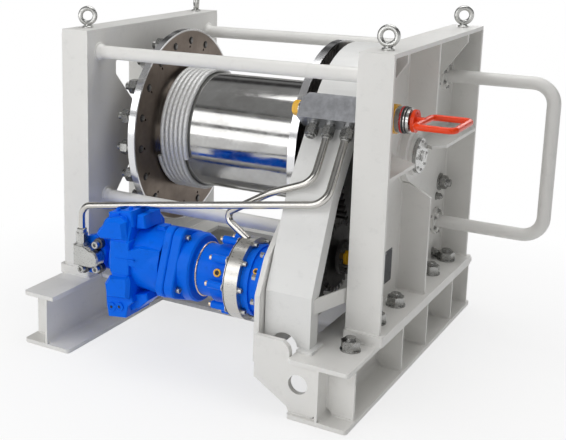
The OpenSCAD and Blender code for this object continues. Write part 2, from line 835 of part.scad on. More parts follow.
// The port blocks over and under the casting, stepped where they pass its end plates.
module motor_ports() {
  over = motor_r + 2 + seat;
  low = motor_r - 8 + seat;
  x1 = body_x0 + 88 + seat;
  color(blue) at_part() {
    xz_plate(motor_y - 90, motor_y + 50) translate([0, motor_z])
      polygon([[body_x0 + 10, over], [x1, over], [x1, low], [body_x0 + 120, low],
               [body_x0 + 150, motor_r + 24], [body_x0 + 60, motor_r + 28], [body_x0 + 52, motor_r + 12]]);
    xz_plate(motor_y - 100, motor_y + 50) translate([0, motor_z])
      polygon([[body_x0 + 30, -over], [x1, -over], [x1, -low], [body_x0 + 130, -low],
               [body_x0 + 160, -motor_r - 52], [body_x0 + 150, -motor_r - 128],
               [body_x0 + 66, -motor_r - 128], [body_x0 + 56, -motor_r - 62]]);
  }
}

// Hydraulics

elbow_x = body_x0 - 85;
elbow_y = -70;
elbow_z = foot_z + 75;
elbow_in = 50;

module pipe_elbow() {
  r = 26;
  color(zinc) at_part() difference() {
    elbow_form(r);
    translate([elbow_x, elbow_y, elbow_z + elbow_in - seat]) cylinder(r = pipe_d / 2 + fit, h = 60);
  }
}

module elbow_form(r) {
  union() {
    x_rod(elbow_x, body_x0 - 26, elbow_y, elbow_z, r);
    yz_plate(body_x0 - 38, body_x0 - 26)
      round_rect([elbow_y - 70, elbow_z - 64], [elbow_y + 48, elbow_z + 62], 18);
    translate([elbow_x, elbow_y, elbow_z]) sphere(r = r);
    translate([elbow_x, elbow_y, elbow_z]) cylinder(r = r - 3, h = 34);
    translate([elbow_x, elbow_y, elbow_z + 34]) cylinder(r = 22, h = 40, $fn = 6);
    for (p = [[-18, 44], [30, -46], [-52, -46]])
      x_rod(body_x0 - 52, body_x0 - 26, elbow_y + p[0], elbow_z + p[1], 13);
  }
}

slope_s = [-cos(slope_top), -sin(slope_top)];
block_x0 = cover_x - 13;
block_x1 = web_x - 7;
port_x = [cover_x + 38, cover_x + 94, cover_x + 157];

// Places its children at the valve, with their Y along the cover face and their Z out of it.
module on_face(x) {
  translate([x, valve_y, valve_z]) rotate([slope_top, 0, 0]) children();
}

module manifold_block() {
  color([0.45, 0.46, 0.48]) at_part() difference() {
    on_face(block_x0) translate([0, -block_h / 2, -block_d / 2 + seat])
      cube([block_x1 - block_x0, block_h, block_d - seat]);
    on_face(block_x0) translate([0, block_h / 2, 0]) rotate([0, 0, 45])
      cube([28, 28, 2 * block_d], center = true);
    x_rod(block_x0 - 1, block_x0 + 30, valve_y, valve_z, 16 + fit);
    x_rod(block_x1 - 30, block_x1 + 1, valve_y, valve_z, 22 + fit);
    for (x = port_x) on_face(x) translate([0, -block_h / 2 - 1, 0]) rotate([-90, 0, 0])
      cylinder(r = pipe_d / 2 + 2, h = 21);
  }
}

module manifold_plug() {
  color(yellow) at_part() {
    x_rod(block_x0 - 10, block_x0 + 28, valve_y, valve_z, 16);
    x_rod(block_x0 - 10, block_x0 - seat, valve_y, valve_z, 25);
    x_rod(block_x0 - 34, block_x0 - 10, valve_y, valve_z, 22);
  }
}

module pipe_fittings() {
  color(zinc) at_part() for (i = [0:2]) on_face(port_x[i]) translate([0, -block_h / 2 - seat, 0])
    rotate([90, 0, 0]) {
      difference() {
        union() {
          cylinder(r = 17, h = 12);
          translate([0, 0, 12]) cylinder(d = 38 / cos(30), h = 34, $fn = 6);
          translate([0, 0, 46]) cylinder(r = 15, h = 8);
        }
        if (i > 0) translate([0, 0, -1]) cylinder(r = pipe_d / 2 + fit, h = 60);
      }
    }
}

// The bend of radius r in the corner b between a and c: its first end, its centre,
// the directions to its start and across it, its angle and its radius.
function unit(v) = v / norm(v);
function corner(a, b, c, r) =
  let (u = unit(a - b), w = unit(c - b), half = acos(u * w) / 2, t = r / tan(half),
       p0 = b + u * t, o = b + unit(u + w) * r / sin(half), e0 = unit(p0 - o), p1 = b + w * t)
  [p0, o, e0, unit((p1 - o) - e0 * ((p1 - o) * e0)), 180 - 2 * half, r];

bend_steps = 10;
pipe_sides = 24;

// Points of one bend, each with the direction of the pipe there.
function bend_path(c) = [for (i = [0 : bend_steps]) let (g = c[4] * i / bend_steps)
  [c[1] + c[5] * (c[2] * cos(g) + c[3] * sin(g)), c[3] * cos(g) - c[2] * sin(g)]];

// Carries a direction across the pipe from point to point without twisting it.
function carried(path, i) =
  let (t = path[i][1], v = i == 0 ? cross(t, abs(t[0]) < 0.8 ? [1, 0, 0] : [0, 1, 0]) : carried(path, i - 1))
  unit(v - t * (v * t));

// Runs a pipe through the points p, with a bend of radius r[i] at each inner point.
module pipe_run(p, r, d) {
  n = len(p) - 1;
  path = concat([[p[0], unit(p[1] - p[0])]],
    [for (i = [1 : n - 1]) each bend_path(corner(p[i - 1], p[i], p[i + 1], r[i - 1]))],
    [[p[n], unit(p[n] - p[n - 1])]]);
  m = len(path) - 1;
  rings = [for (i = [0 : m]) let (u = carried(path, i), v = cross(path[i][1], u))
    each [for (k = [0 : pipe_sides - 1]) let (g = 360 * k / pipe_sides)
      path[i][0] + d / 2 * (u * cos(g) + v * sin(g))]];
  sides = [for (i = [0 : m - 1], k = [0 : pipe_sides - 1]) let (a = i * pipe_sides, b = (k + 1) % pipe_sides)
    [a + k, a + pipe_sides + k, a + pipe_sides + b, a + b]];
  polyhedron(rings, concat([[for (k = [0 : pipe_sides - 1]) k]], sides,
    [[for (k = [pipe_sides - 1 : -1 : 0]) m * pipe_sides + k]]));
}

function on_slope(x, s) = [x, valve_y + slope_s[0] * s, valve_z + slope_s[1] * s];

pipe_top = on_slope(port_x[2], block_h / 2 - 14);
pipe_a = [elbow_x, elbow_y, elbow_z + elbow_in];
pipe_b = [elbow_x, elbow_y, foot_z + 275];
pipe_c = on_slope(port_x[2], 318);

module long_pipe() {
  color(zinc) at_part() pipe_run([pipe_a, pipe_b, pipe_c, pipe_top], [48, 60], pipe_d);
}

short_top = on_slope(port_x[1], block_h / 2 - 14);
short_b = on_slope(port_x[1], 250);

module short_pipe() {
  color(zinc) at_part() pipe_run([short_top, short_b, short_m, short_c, short_end], [60, 160, 26], pipe_d);
}

collar_r = 40;
collar_x1 = web_x + 146;

module valve_collar() {
  color(steel) at_part() difference() {
    union() {
      x_rod(block_x1 - 28, block_x1 + 4, valve_y, valve_z, 22);
      x_rod(block_x1 + 4, collar_x1, valve_y, valve_z, collar_r);
      x_rod(collar_x1 - 60, collar_x1 - 44, valve_y, valve_z, collar_r + 7);
      x_rod(collar_x1 - 44, collar_x1 - 18, valve_y, valve_z, collar_r + 3);
    }
    x_rod(collar_x1 - 40, collar_x1 + 1, valve_y, valve_z, stem_r + fit);
  }
}

stem_r = 14;
loop_x0 = collar_x1 + 36;
loop_x1 = loop_x0 + 121;
loop_half = 90;
loop_r = 10;
loop_bend = 22;

module valve_handle() {
  color(orange) at_part() {
    x_rod(collar_x1 - 38, loop_x0 + 5, valve_y, valve_z, stem_r);
    difference() {
      x_rod(collar_x1 + 5, collar_x1 + 16, valve_y, valve_z, 36);
      for (k = [-1, 1]) x_rod(collar_x1 + 4, collar_x1 + 17, valve_y, valve_z + 25 * k, 5);
    }
    translate([0, valve_y, valve_z]) for (s = [0, 1]) mirror([0, s, 0]) handle_side();
    for (x = [loop_x0, loop_x1]) translate([x, valve_y - loop_half + loop_bend, valve_z]) rotate([-90, 0, 0])
      cylinder(r = loop_r, h = 2 * (loop_half - loop_bend));
  }
}

// One long side of the loop with its two corners.
module handle_side() {
  y = loop_half - loop_bend;
  x_rod(loop_x0 + loop_bend, loop_x1 - loop_bend, loop_half, 0, loop_r);
  translate([loop_x1 - loop_bend, y, 0]) rotate_extrude(angle = 90)
    translate([loop_bend, 0]) circle(r = loop_r);
  translate([loop_x0 + loop_bend, y, 0]) rotate([0, 0, 90]) rotate_extrude(angle = 90)
    translate([loop_bend, 0]) circle(r = loop_r);
}

// Sub-parts

left_beam();
right_beam();
beam_ribs();
cross_beams();
base_plates();
base_bolts();
left_web();
left_flanges();
left_stiffeners();
right_web();
right_flanges();
right_stiffeners();
upper_ties();
lower_front_tie();
lower_rear_tie();
tie_bolts();
eye_bolts();
guard_rail();
bearing_housings();
bearing_caps();
motor_plate();
gear_cover();
cover_strut();
lifting_lug();
gearbox();
ring_flange();
brake_housing();
motor_flange();
motor_body();
motor_ports();
pipe_elbow();
manifold_block();
manifold_plug();
pipe_fittings();
long_pipe();
short_pipe();
valve_collar();
idler_shaft();
idler_cap();
drum_barrel();
drum_left_flange();
drum_right_flange();
rope_turns();
drum_bolts();
drum_shaft();
drum_gear();
gear_hub();
idler_gear();
pinion();
valve_handle();
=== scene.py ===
"""Looks of the tugger winch: materials, rope, weld beads, bolts, castings, light and camera."""
import json
import math

import bmesh
import bpy
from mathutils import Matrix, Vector


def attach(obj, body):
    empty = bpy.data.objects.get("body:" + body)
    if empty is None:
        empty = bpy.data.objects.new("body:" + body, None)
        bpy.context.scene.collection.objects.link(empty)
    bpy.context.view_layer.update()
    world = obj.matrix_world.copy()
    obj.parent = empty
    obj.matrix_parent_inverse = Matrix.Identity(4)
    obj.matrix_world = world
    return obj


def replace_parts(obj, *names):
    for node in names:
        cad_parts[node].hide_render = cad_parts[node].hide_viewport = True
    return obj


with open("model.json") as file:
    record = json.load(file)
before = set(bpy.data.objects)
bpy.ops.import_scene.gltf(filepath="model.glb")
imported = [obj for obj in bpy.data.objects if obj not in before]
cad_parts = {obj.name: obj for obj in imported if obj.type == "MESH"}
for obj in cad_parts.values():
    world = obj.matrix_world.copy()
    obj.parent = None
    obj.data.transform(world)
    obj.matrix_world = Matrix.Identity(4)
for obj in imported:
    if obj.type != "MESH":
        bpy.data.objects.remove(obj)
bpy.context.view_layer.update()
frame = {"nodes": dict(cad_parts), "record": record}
nodes = frame["nodes"]
MM = 0.001
TAU = 2 * math.pi
SIDES = ((1, "right"), (-1, "left"))
RIGHT, LEFT, FORWARD, UP, DOWN = (1, 0, 0), (-1, 0, 0), (0, -1, 0), (0, 0, 1), (0, 0, -1)

# Places in the winch's own millimetres, whose zero lies to the left of the shared frame's
# origin and in front of it

ORIGIN_X, ORIGIN_Y = 151, 400       # where the shared frame's origin stands
AXIS_Y, AXIS_Z = 465, 726           # drum
MOTOR_Y, MOTOR_Z = -60, 361         # motor, brake and gearbox
VALVE_Y, VALVE_Z = 97.925, 920      # valve and its handle
FOOT, TOP, DEEP = 234, 1134, 958    # side frames: both levels, and their depth along Y
WEB_IN, WEB, EDGE = 512, 524, 627   # the web's two faces, and the flanges' outer edge
PLATE = 14                          # thickness of the side frames' flanges
BEAM_TOP = 200                      # level of the floor beams
HIGH_TIE, REAR_TIE, FRONT_TIE = FOOT + 816, FOOT + 300, FOOT + 260  # levels of the ties
TIE_FRONT_Y, TIE_BACK_Y, LOW_TIE_Y = 78, 880, 122
RAIL_Y, RAIL_Z = 850, (FOOT + 719, FOOT + 152)  # ends of the guard rail
TIE_ENDS = [(s, y, z) for s in (1, -1) for y, z in
            ((TIE_FRONT_Y, HIGH_TIE), (TIE_BACK_Y, HIGH_TIE), (TIE_BACK_Y, REAR_TIE))]
TIE_ENDS.append((-1, LOW_TIE_Y, FRONT_TIE))


def at(x, y, z):
    """A point in the winch's own millimetres, as metres in the shared frame."""
    return Vector(((x - ORIGIN_X) * MM, (y - ORIGIN_Y) * MM, z * MM))


def round_drum(x, r, g):
    """The point at x, and at the angle g (radians) and the radius r round the drum's axis."""
    return at(x, AXIS_Y + r * math.cos(g), AXIS_Z + r * math.sin(g))


def round_motor(x, r, degrees):
    """The same round the motor's axis, with the angle in degrees."""
    g = math.radians(degrees)
    return at(x, MOTOR_Y + r * math.cos(g), MOTOR_Z + r * math.sin(g))


# Materials

class Tree:
    """A node tree with a few short ways to add to it."""

    def __init__(self, tree):
        self.t = tree

    def join(self, a, b):
        self.t.links.new(a, b)

    def feed(self, socket, value):
        """Sets a socket to a number or a colour, or links it to an output."""
        if isinstance(value, (float, int)):
            socket.default_value = value
        elif isinstance(value, tuple):
            socket.default_value = (*value, 1)
        else:
            self.join(value, socket)

    def node(self, kind, **values):
        n = self.t.nodes.new(kind)
        for k, v in values.items():
            setattr(n, k, v)
        return n

    def ramp(self, value, stops):
        """A colour ramp. Each stop is a position and a grey or a colour."""
        n = self.node("ShaderNodeValToRGB")
        elements = n.color_ramp.elements
        while len(elements) < len(stops):
            elements.new(1.0)
        for e, (p, c) in zip(elements, stops):
            e.position = p
            e.color = (c, c, c, 1) if isinstance(c, float) else (*c, 1)
        self.join(value, n.inputs["Fac"])
        return n.outputs["Color"]

    def mix(self, fac, a, b, mode="MIX"):
        n = self.node("ShaderNodeMix", data_type="RGBA", blend_type=mode)
        for socket, value in (("Factor", fac), ("A", a), ("B", b)):
            self.feed(n.inputs[socket], value)
        return n.outputs["Result"]

    def math(self, kind, *values, clamp=False):
        n = self.node("ShaderNodeMath", operation=kind, use_clamp=clamp)
        for socket, value in zip(n.inputs, values):
            self.feed(socket, value)
        return n.outputs["Value"]

    def distance(self, a, b):
        """The square root of a squared and b squared together."""
        return self.math("SQRT", self.math("ADD", self.math("MULTIPLY", a, a),
                                           self.math("MULTIPLY", b, b)))

    def rays(self):
        """Whether a ray is the camera's own, and whether it is mirrored or seen through glass."""
        ray = self.node("ShaderNodeLightPath").outputs
        mirrored = self.math("ADD", ray["Is Glossy Ray"], ray["Is Transmission Ray"], clamp=True)
        return ray["Is Camera Ray"], mirrored

    def mix_shader(self, fac, a, b):
        n = self.node("ShaderNodeMixShader")
        for socket, value in zip(n.inputs, (fac, a, b)):
            self.join(value, socket)
        return n.outputs["Shader"]


class Mat(Tree):
    """A material round one Principled BSDF, with its patterns in object coordinates."""

    def __init__(self, name, roughness, metallic=0.0, spec=0.5, coat=0.0):
        self.m = bpy.data.materials.new(name)
        self.m.use_nodes = True
        super().__init__(self.m.node_tree)
        self.b = self.t.nodes["Principled BSDF"]
        for socket, value in (("Metallic", metallic), ("Roughness", roughness),
                              ("Specular IOR Level", spec), ("Coat Weight", coat),
                              ("Coat Roughness", 0.25)):
            self.b.inputs[socket].default_value = value
        self.pos = self.node("ShaderNodeTexCoord").outputs["Object"]

    def stretch(self, scale):
        n = self.node("ShaderNodeMapping")
        n.inputs["Scale"].default_value = scale
        self.join(self.pos, n.inputs["Vector"])
        return n.outputs["Vector"]

    def noise(self, scale, detail=4.0, rough=0.55, vector=None):
        """Noise with about scale cells to the metre."""
        n = self.node("ShaderNodeTexNoise")
        for socket, value in (("Scale", scale), ("Detail", detail), ("Roughness", rough)):
            n.inputs[socket].default_value = value
        self.join(vector or self.pos, n.inputs["Vector"])
        return n.outputs["Fac"]

    def axes(self):
        n = self.node("ShaderNodeSeparateXYZ")
        self.join(self.pos, n.inputs["Vector"])
        return n.outputs["X"], n.outputs["Y"], n.outputs["Z"]

    def soft_normal(self, radius):
        """The normal, rounded off at edges by a radius in metres."""
        bevel = self.node("ShaderNodeBevel", samples=4)
        bevel.inputs["Radius"].default_value = radius
        return bevel.outputs["Normal"]

    def edge(self, normal):
        """Near one where the soft normal leaves the face's own, and zero on flat faces."""
        dot = self.node("ShaderNodeVectorMath", operation="DOT_PRODUCT")
        self.join(normal, dot.inputs[0])
        self.join(self.node("ShaderNodeNewGeometry").outputs["Normal"], dot.inputs[1])
        return self.ramp(dot.outputs["Value"], [(0.80, 1.0), (0.99, 0.0)])

    def bump(self, layers, normal=None):
        """Adds layers of (height, strength, distance in metres) to the normal."""
        for height, strength, distance in layers:
            n = self.node("ShaderNodeBump")
            n.inputs["Strength"].default_value = strength
            n.inputs["Distance"].default_value = distance
            self.join(height, n.inputs["Height"])
            if normal is not None:
                self.join(normal, n.inputs["Normal"])
            normal = n.outputs["Normal"]
        self.join(normal, self.b.inputs["Normal"])

    def colour(self, value):
        self.join(value, self.b.inputs["Base Color"])

    def rough(self, value):
        self.join(value, self.b.inputs["Roughness"])


def tint(c, k):
    """A colour made k times as bright, up to white."""
    return tuple(min(1.0, v * k) for v in c)


def paint(name, base, rough=0.42, coat=0.2, soft=0.0015, dirt=0.93, peel=0.25, light=1.12,
          spec=0.5):
    """Sprayed enamel: cloudy tone, orange peel, a painted highlight along the edges and a little
    dust.
    """
    m = Mat(name, rough, 0.0, spec, coat)
    cloud = m.ramp(m.noise(3.1, 5), [(0.3, tint(base, 0.965)), (0.7, tint(base, 1.02))])
    spots = m.ramp(m.noise(26, 8, 0.7), [(0.56, 1.0), (0.72, dirt)])
    body = m.mix(1.0, cloud, spots, "MULTIPLY")
    normal = m.soft_normal(soft)
    # Painted highlight: the colour is lightened by the factor light along the edges, where the
    # soft normal leaves the face's own
    m.colour(m.mix(m.math("MULTIPLY", m.edge(normal), 0.8), body, tint(base, light)))
    m.rough(m.ramp(m.noise(14, 6, 0.6), [(0.3, rough - 0.07), (0.7, rough + 0.1)]))
    m.bump([(m.noise(420, 2), peel, 0.00012), (m.noise(60, 3), peel * 0.7, 0.0002)], normal)
    return m.m


def metal(name, base, rough, scale, grain=(1, 1, 1), stain=0.86, strength=0.2):
    """Bare or plated metal, with a grain along one way and faint stains."""
    m = Mat(name, rough, 1.0)
    g = m.noise(scale, 6, 0.65, m.stretch(grain))
    tone = m.ramp(m.noise(34, 7, 0.65), [(0.35, tint(base, 1.05)), (0.7, tint(base, stain))])
    lines = m.ramp(g, [(0.3, tint(base, 0.82)), (0.7, tint(base, 1.12))])
    m.colour(m.mix(0.35, tone, lines))
    m.rough(m.ramp(g, [(0.25, max(0.05, rough - 0.09)), (0.75, rough + 0.12)]))
    m.bump([(g, strength, 0.00008)], m.soft_normal(0.0008))
    return m.m


RIM = (0.72, 0.72, 0.73)
RIM_STARTS, RIM_FULL = 0.372, 0.376  # radii in metres


def turned(name, base, dark, rough, rim=None):
    """Steel turned on a lathe: fine grooves round the drum axis, oil stains, and a bright rim."""
    m = Mat(name, rough, 1.0)
    x, y, z = m.axes()
    r = m.distance(m.math("SUBTRACT", y, (AXIS_Y - ORIGIN_Y) * MM),
                   m.math("SUBTRACT", z, AXIS_Z * MM))
    line = m.node("ShaderNodeCombineXYZ")
    m.join(m.math("MULTIPLY", x, 3.0), line.inputs["X"])
    m.join(r, line.inputs["Y"])
    groove = m.noise(900, 3, 0.6, line.outputs["Vector"])
    stain = m.ramp(m.noise(7, 8, 0.68), [(0.42, 0.0), (0.68, 0.8)])
    smear = m.noise(30, 6, 0.7, m.stretch((1.0, 2.0, 0.6)))
    lines = m.ramp(groove, [(0.3, tint(base, 0.8)), (0.7, tint(base, 1.12))])
    body = m.mix(0.4, m.mix(stain, base, dark), lines, "MULTIPLY")
    gloss = m.ramp(smear, [(0.3, rough - 0.05), (0.75, rough + 0.12)])
    if rim:
        shine = m.ramp(r, [(RIM_STARTS, 0.0), (RIM_FULL, 1.0)])
        body = m.mix(shine, body, rim)
        gloss = m.mix(shine, gloss, (0.16, 0.16, 0.16))
    m.colour(body)
    m.rough(gloss)
    m.bump([(groove, 0.18, 0.00008)], m.soft_normal(0.001))
    return m.m


def moulded(name, base, rough):
    """Plastic or rubber with a fine grain."""
    m = Mat(name, rough, 0.0, 0.5, 0.1)
    m.colour(m.ramp(m.noise(40, 5), [(0.3, tint(base, 0.93)), (0.7, tint(base, 1.03))]))
    m.rough(m.ramp(m.noise(90, 4), [(0.3, rough - 0.06), (0.7, rough + 0.1)]))
    m.bump([(m.noise(600, 2), 0.15, 0.00006)], m.soft_normal(0.0006))
    return m.m


def strand_metal():
    """Galvanised wires: fine lines along each strand, with painted shade darkening the gaps
    between the wires, over a pale zinc bloom.
    """
    m = Mat("wire_rope", 0.45, 0.35)
    wires = m.noise(900, 3, 0.6, m.stretch((0.35, 1.0, 1.0)))
    bloom = m.noise(120, 5, 0.6)
    tone = m.ramp(bloom, [(0.3, (0.74, 0.74, 0.73)), (0.7, (0.90, 0.90, 0.89))])
    # Painted shade: dark lines between the wires, multiplied into the zinc tone
    wire_gap_shade = m.ramp(wires, [(0.35, 0.12), (0.6, 1.0)])
    m.colour(m.mix(0.45, tone, wire_gap_shade, "MULTIPLY"))
    m.rough(m.ramp(wires, [(0.3, 0.36), (0.7, 0.55)]))
    m.bump([(wires, 0.5, 0.0003)])
    return m.m


def drawn_tube():
    """Drawn tube: an even satin with faint marks."""
    m = Mat("drawn_tube", 0.2, 1.0)
    m.colour(m.ramp(m.noise(9, 4), [(0.3, (0.60, 0.585, 0.555)), (0.7, (0.54, 0.525, 0.50))]))
    m.rough(m.ramp(m.noise(30, 4), [(0.3, 0.18), (0.7, 0.25)]))
    m.bump([(m.noise(300, 2), 0.03, 0.00003)])
    return m.m


frame_paint = paint("frame_enamel", (0.82, 0.812, 0.785))
cover_paint = paint("cover_enamel", (0.82, 0.82, 0.805), rough=0.36)
blue_paint = paint("blue_enamel", (0.0, 0.150, 0.86), rough=0.38, coat=0.03, soft=0.002,
                   dirt=0.85, light=1.3, spec=0.10)
orange_paint = paint("orange_enamel", (0.86, 0.055, 0.004), rough=0.30, coat=0.1, soft=0.001,
                     peel=0.2, light=1.1, spec=0.3)
zinc = metal("zinc_plate", (0.50, 0.50, 0.485), 0.28, 180, stain=0.9, strength=0.1)
stainless = drawn_tube()
block_metal = metal("milled_block", (0.56, 0.57, 0.60), 0.36, 120, (1, 0.4, 0.4), stain=0.6)
bright = metal("ground_steel", (0.52, 0.52, 0.51), 0.22, 300, (3, 1, 1))
gear_steel = metal("greased_steel", (0.16, 0.155, 0.15), 0.36, 90, stain=0.5)
ring_steel = metal("machined_ring", (0.60, 0.585, 0.55), 0.30, 200, (0.3, 1, 1), stain=0.96,
                   strength=0.06)
nut_steel = metal("nut_steel", (0.34, 0.34, 0.33), 0.26, 160, stain=0.9, strength=0.1)
clamp_steel = metal("dark_clamp", (0.10, 0.10, 0.11), 0.40, 120)
bronze = metal("bronze_tint", (0.74, 0.60, 0.45), 0.25, 200)
barrel_steel = turned("barrel_steel", (0.60, 0.60, 0.59), (0.46, 0.45, 0.44), 0.11)
flange_steel = turned("flange_steel", (0.27, 0.225, 0.19), (0.15, 0.12, 0.10), 0.33, RIM)
rim_steel = turned("right_flange_steel", (0.46, 0.44, 0.42), (0.24, 0.22, 0.20), 0.26, RIM)
rope_metal = strand_metal()
yellow = moulded("yellow_cap", (0.90, 0.48, 0.008), 0.3)
red = moulded("red_ring", (0.70, 0.015, 0.02), 0.35)
black = moulded("black_rubber", (0.018, 0.018, 0.02), 0.45)
plate_dark = moulded("bare_plate", (0.055, 0.06, 0.07), 0.4)
hole_dark = moulded("hole_shade", (0.02, 0.018, 0.016), 0.7)

LOOK = {"frame_paint": frame_paint, "zinc_steel": zinc, "stainless_pipe": stainless,
        "turned_steel": barrel_steel, "bright_steel": bright, "blue_paint": blue_paint,
        "gear_steel": gear_steel, "wire_rope": rope_metal, "block_metal": block_metal,
        "yellow_plastic": yellow, "orange_paint": orange_paint}
OWN = {"drum_left_flange": flange_steel, "drum_right_flange": rim_steel,
       "gear_cover": cover_paint, "drum_bolts": zinc, "ring_flange": ring_steel}
for part in frame["record"]["subparts"]:
    name = part["node"]
    if name in nodes:
        mesh = nodes[name].data
        mesh.materials.clear()
        mesh.materials.append(OWN.get(name) or LOOK[part["material_slot"]])


# Mesh pieces

class Kit:
    """Collects rings of points into one mesh."""

    def __init__(self):
        self.v = []
        self.f = []

    def ring(self, points):
        first = len(self.v)
        self.v.extend(points)
        return range(first, first + len(points))

    def skin(self, a, b):
        n = len(a)
        for i in range(n):
            j = (i + 1) % n
            self.f.append((a[i], a[j], b[j], b[i]))

    def stack(self, rings, close=False):
        """Skins each ring to the next, then joins the last to the first or caps both ends."""
        rings = [self.ring(r) for r in rings]
        for a, b in zip(rings, rings[1:]):
            self.skin(a, b)
        if close:
            self.skin(rings[-1], rings[0])
        else:
            self.f.append(tuple(reversed(rings[0])))
            self.f.append(tuple(rings[-1]))

    def piece(self, name, material, body="frame", slot=None, angle=32):
        """Makes the object, which rides on a body. The slot argument is not used."""
        mesh = bpy.data.meshes.new(name)
        mesh.from_pydata([tuple(p) for p in self.v], [], self.f)
        mesh.validate()
        mesh.update()
        mesh.materials.append(material)
        obj = bpy.data.objects.new(name, mesh)
        bpy.context.scene.collection.objects.link(obj)
        smooth(obj, angle)
        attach(obj, body)
        return obj


def smooth(obj, angle):
    """Smooth shading, kept sharp over the angle in degrees."""
    mesh = obj.data
    mesh.polygons.foreach_set("use_smooth", [True] * len(mesh.polygons))
    limit = math.radians(angle)
    bm = bmesh.new()
    bm.from_mesh(mesh)
    bmesh.ops.recalc_face_normals(bm, faces=bm.faces)
    for e in bm.edges:
        e.smooth = len(e.link_faces) != 2 or e.calc_face_angle(0.0) < limit
    bm.to_mesh(mesh)
    bm.free()


def level_ring(origin, axis, sides, level, turn=0.0):
    """A ring of points round an axis through origin. level(angle) gives (along, radius) in mm."""
    w = Vector(axis).normalized()
    u = w.cross(Vector(UP) if abs(w.z) < 0.9 else Vector(RIGHT)).normalized()
    v = w.cross(u)
    ring = []
    for i in range(sides):
        g = TAU * i / sides
        along, r = level(g)
        way = u * math.cos(g + turn) + v * math.sin(g + turn)
        ring.append(origin + w * along * MM + way * r * MM)
    return ring


def round_level(along, radius):
    return lambda g: (along, radius)


def hex_radius(g, width):
    """Distance from the middle to the side of a hexagon, at the angle g."""
    d = (math.degrees(g) + 30) % 60 - 30
    return width / 2 / math.cos(math.radians(d))


def hex_level(along, width):
    return lambda g: (along, hex_radius(g, width))


def lathe(kit, origin, axis, profile, sides=32):
    """Turns a profile of (along, radius), in mm, round an axis through the point origin (m)."""
    kit.stack([level_ring(origin, axis, sides, round_level(*p)) for p in profile])


TAN_30 = 0.5774


def hex_nut(kit, origin, axis, width, height, turn=0.0, both=False):
    """A hexagon with its corners turned off at the top, and at both ends if asked."""
    corner = width / 2 * 0.965

    def face(along):
        return lambda g: (along, min(hex_radius(g, width), corner))

    def slope(along, drop):
        return lambda g: (along - drop * (hex_radius(g, width) - corner) * TAN_30,
                          hex_radius(g, width))
    start = [face(0), slope(0, -1)] if both else [hex_level(0, width)]
    levels = start + [slope(height, 1), face(height)]
    kit.stack([level_ring(origin, axis, 48, f, turn) for f in levels])


def socket_head(kit, origin, axis, d, height, turn=0.0):
    """A socket-head screw: a cylinder with a chamfer and a hexagon recess."""
    r = d / 2
    floor_level = height * 0.45
    levels = [round_level(0, r), round_level(height - r * 0.12, r), round_level(height, r * 0.88),
              hex_level(height, r * 0.98), hex_level(floor_level, r * 0.96),
              hex_level(floor_level, 0.02)]
    kit.stack([level_ring(origin, axis, 36, f, turn) for f in levels])


def washer(kit, origin, axis, d, t):
    lathe(kit, origin, axis, [(0, d / 2), (t - 0.6, d / 2), (t, d / 2 - 0.8)], 40)


def stud(kit, origin, axis, d, length):
    """The end of a threaded rod: rings for the thread and a chamfered tip."""
    pitch = 2.5
    profile = []
    for i in range(int(length / pitch)):
        profile += [(i * pitch, d / 2 - 1.0), (i * pitch + pitch / 2, d / 2)]
    profile += [(length - 1.2, d / 2 - 0.6), (length, d / 2 - 2.2)]
    lathe(kit, origin, axis, profile, 28)


def bolt_end(kit, spot, axis, plate, nut, rod, turn, sunk=1.0):
    """A washer, a nut and a rod's end, each (width, height) in mm, along the axis from spot."""
    def along(d):
        return at(*(p + a * d for p, a in zip(spot, axis)))
    washer(kit, along(0), axis, *plate)
    hex_nut(kit, along(plate[1]), axis, *nut, turn=turn)
    stud(kit, along(plate[1] + nut[1] - sunk), axis, *rod)


def bends(points, radii):
    """A route through the points with a bend of the given radius (mm) at each inner one."""
    steps = 10
    out = [Vector(points[0])]
    for a, b, c, r in zip(points, points[1:], points[2:], radii):
        a, b, c = Vector(a), Vector(b), Vector(c)
        u, w = (a - b).normalized(), (c - b).normalized()
        half = math.acos(max(-1, min(1, u.dot(w)))) / 2
        p0 = b + u * (r / math.tan(half))
        o = b + (u + w).normalized() * (r / math.sin(half))
        e0 = (p0 - o).normalized()
        p1 = b + w * (r / math.tan(half))
        e1 = ((p1 - o) - e0 * ((p1 - o).dot(e0))).normalized()
        turn = math.pi - 2 * half
        for i in range(steps + 1):
            g = turn * i / steps
            out.append(o + (e0 * math.cos(g) + e1 * math.sin(g)) * r)
    out.append(Vector(points[-1]))
    return out


def tube(kit, path, radius, sides=24, close=False):
    """Sweeps a section along a path in metres. The radius is in mm, or a function of the
    point's index and the angle."""
    n = len(path)
    normal = None
    rings = []
    for i, p in enumerate(path):
        if close:
            t = (path[(i + 1) % n] - path[i - 1]).normalized()
        else:
            t = (path[min(i + 1, n - 1)] - path[max(i - 1, 0)]).normalized()
        if normal is None:
            normal = t.cross(Vector(RIGHT) if abs(t.x) < 0.8 else Vector((0, 1, 0))).normalized()
        normal = (normal - t * normal.dot(t)).normalized()
        side = t.cross(normal)
        ring = []
        for k in range(sides):
            g = TAU * k / sides
            r = radius(i, g) if callable(radius) else radius
            ring.append(p + (normal * math.cos(g) + side * math.sin(g)) * r * MM)
        rings.append(ring)
    kit.stack(rings, close)


def prism(kit, place, low, high, outline, inset):
    """An outline drawn out from low to high, with a chamfer round both faces."""
    cx = sum(p[0] for p in outline) / len(outline)
    cy = sum(p[1] for p in outline) / len(outline)

    def ring(level, d):
        out = []
        for x, y in outline:
            r = math.hypot(x - cx, y - cy)
            q = (r - d) / r
            out.append(place(level, cx + (x - cx) * q, cy + (y - cy) * q))
        return out
    kit.stack([ring(low, inset), ring(low + inset, 0), ring(high - inset, 0), ring(high, inset)])


def wedge(kit, y0, y1, outline, inset):
    """A form drawn in X and Z, from y0 to y1."""
    prism(kit, lambda y, x, z: at(x, y, z), y0, y1, outline, inset)


def slab(kit, x0, x1, outline, inset):
    """A form drawn in Y and Z, from x0 to x1."""
    prism(kit, at, x0, x1, outline, inset)


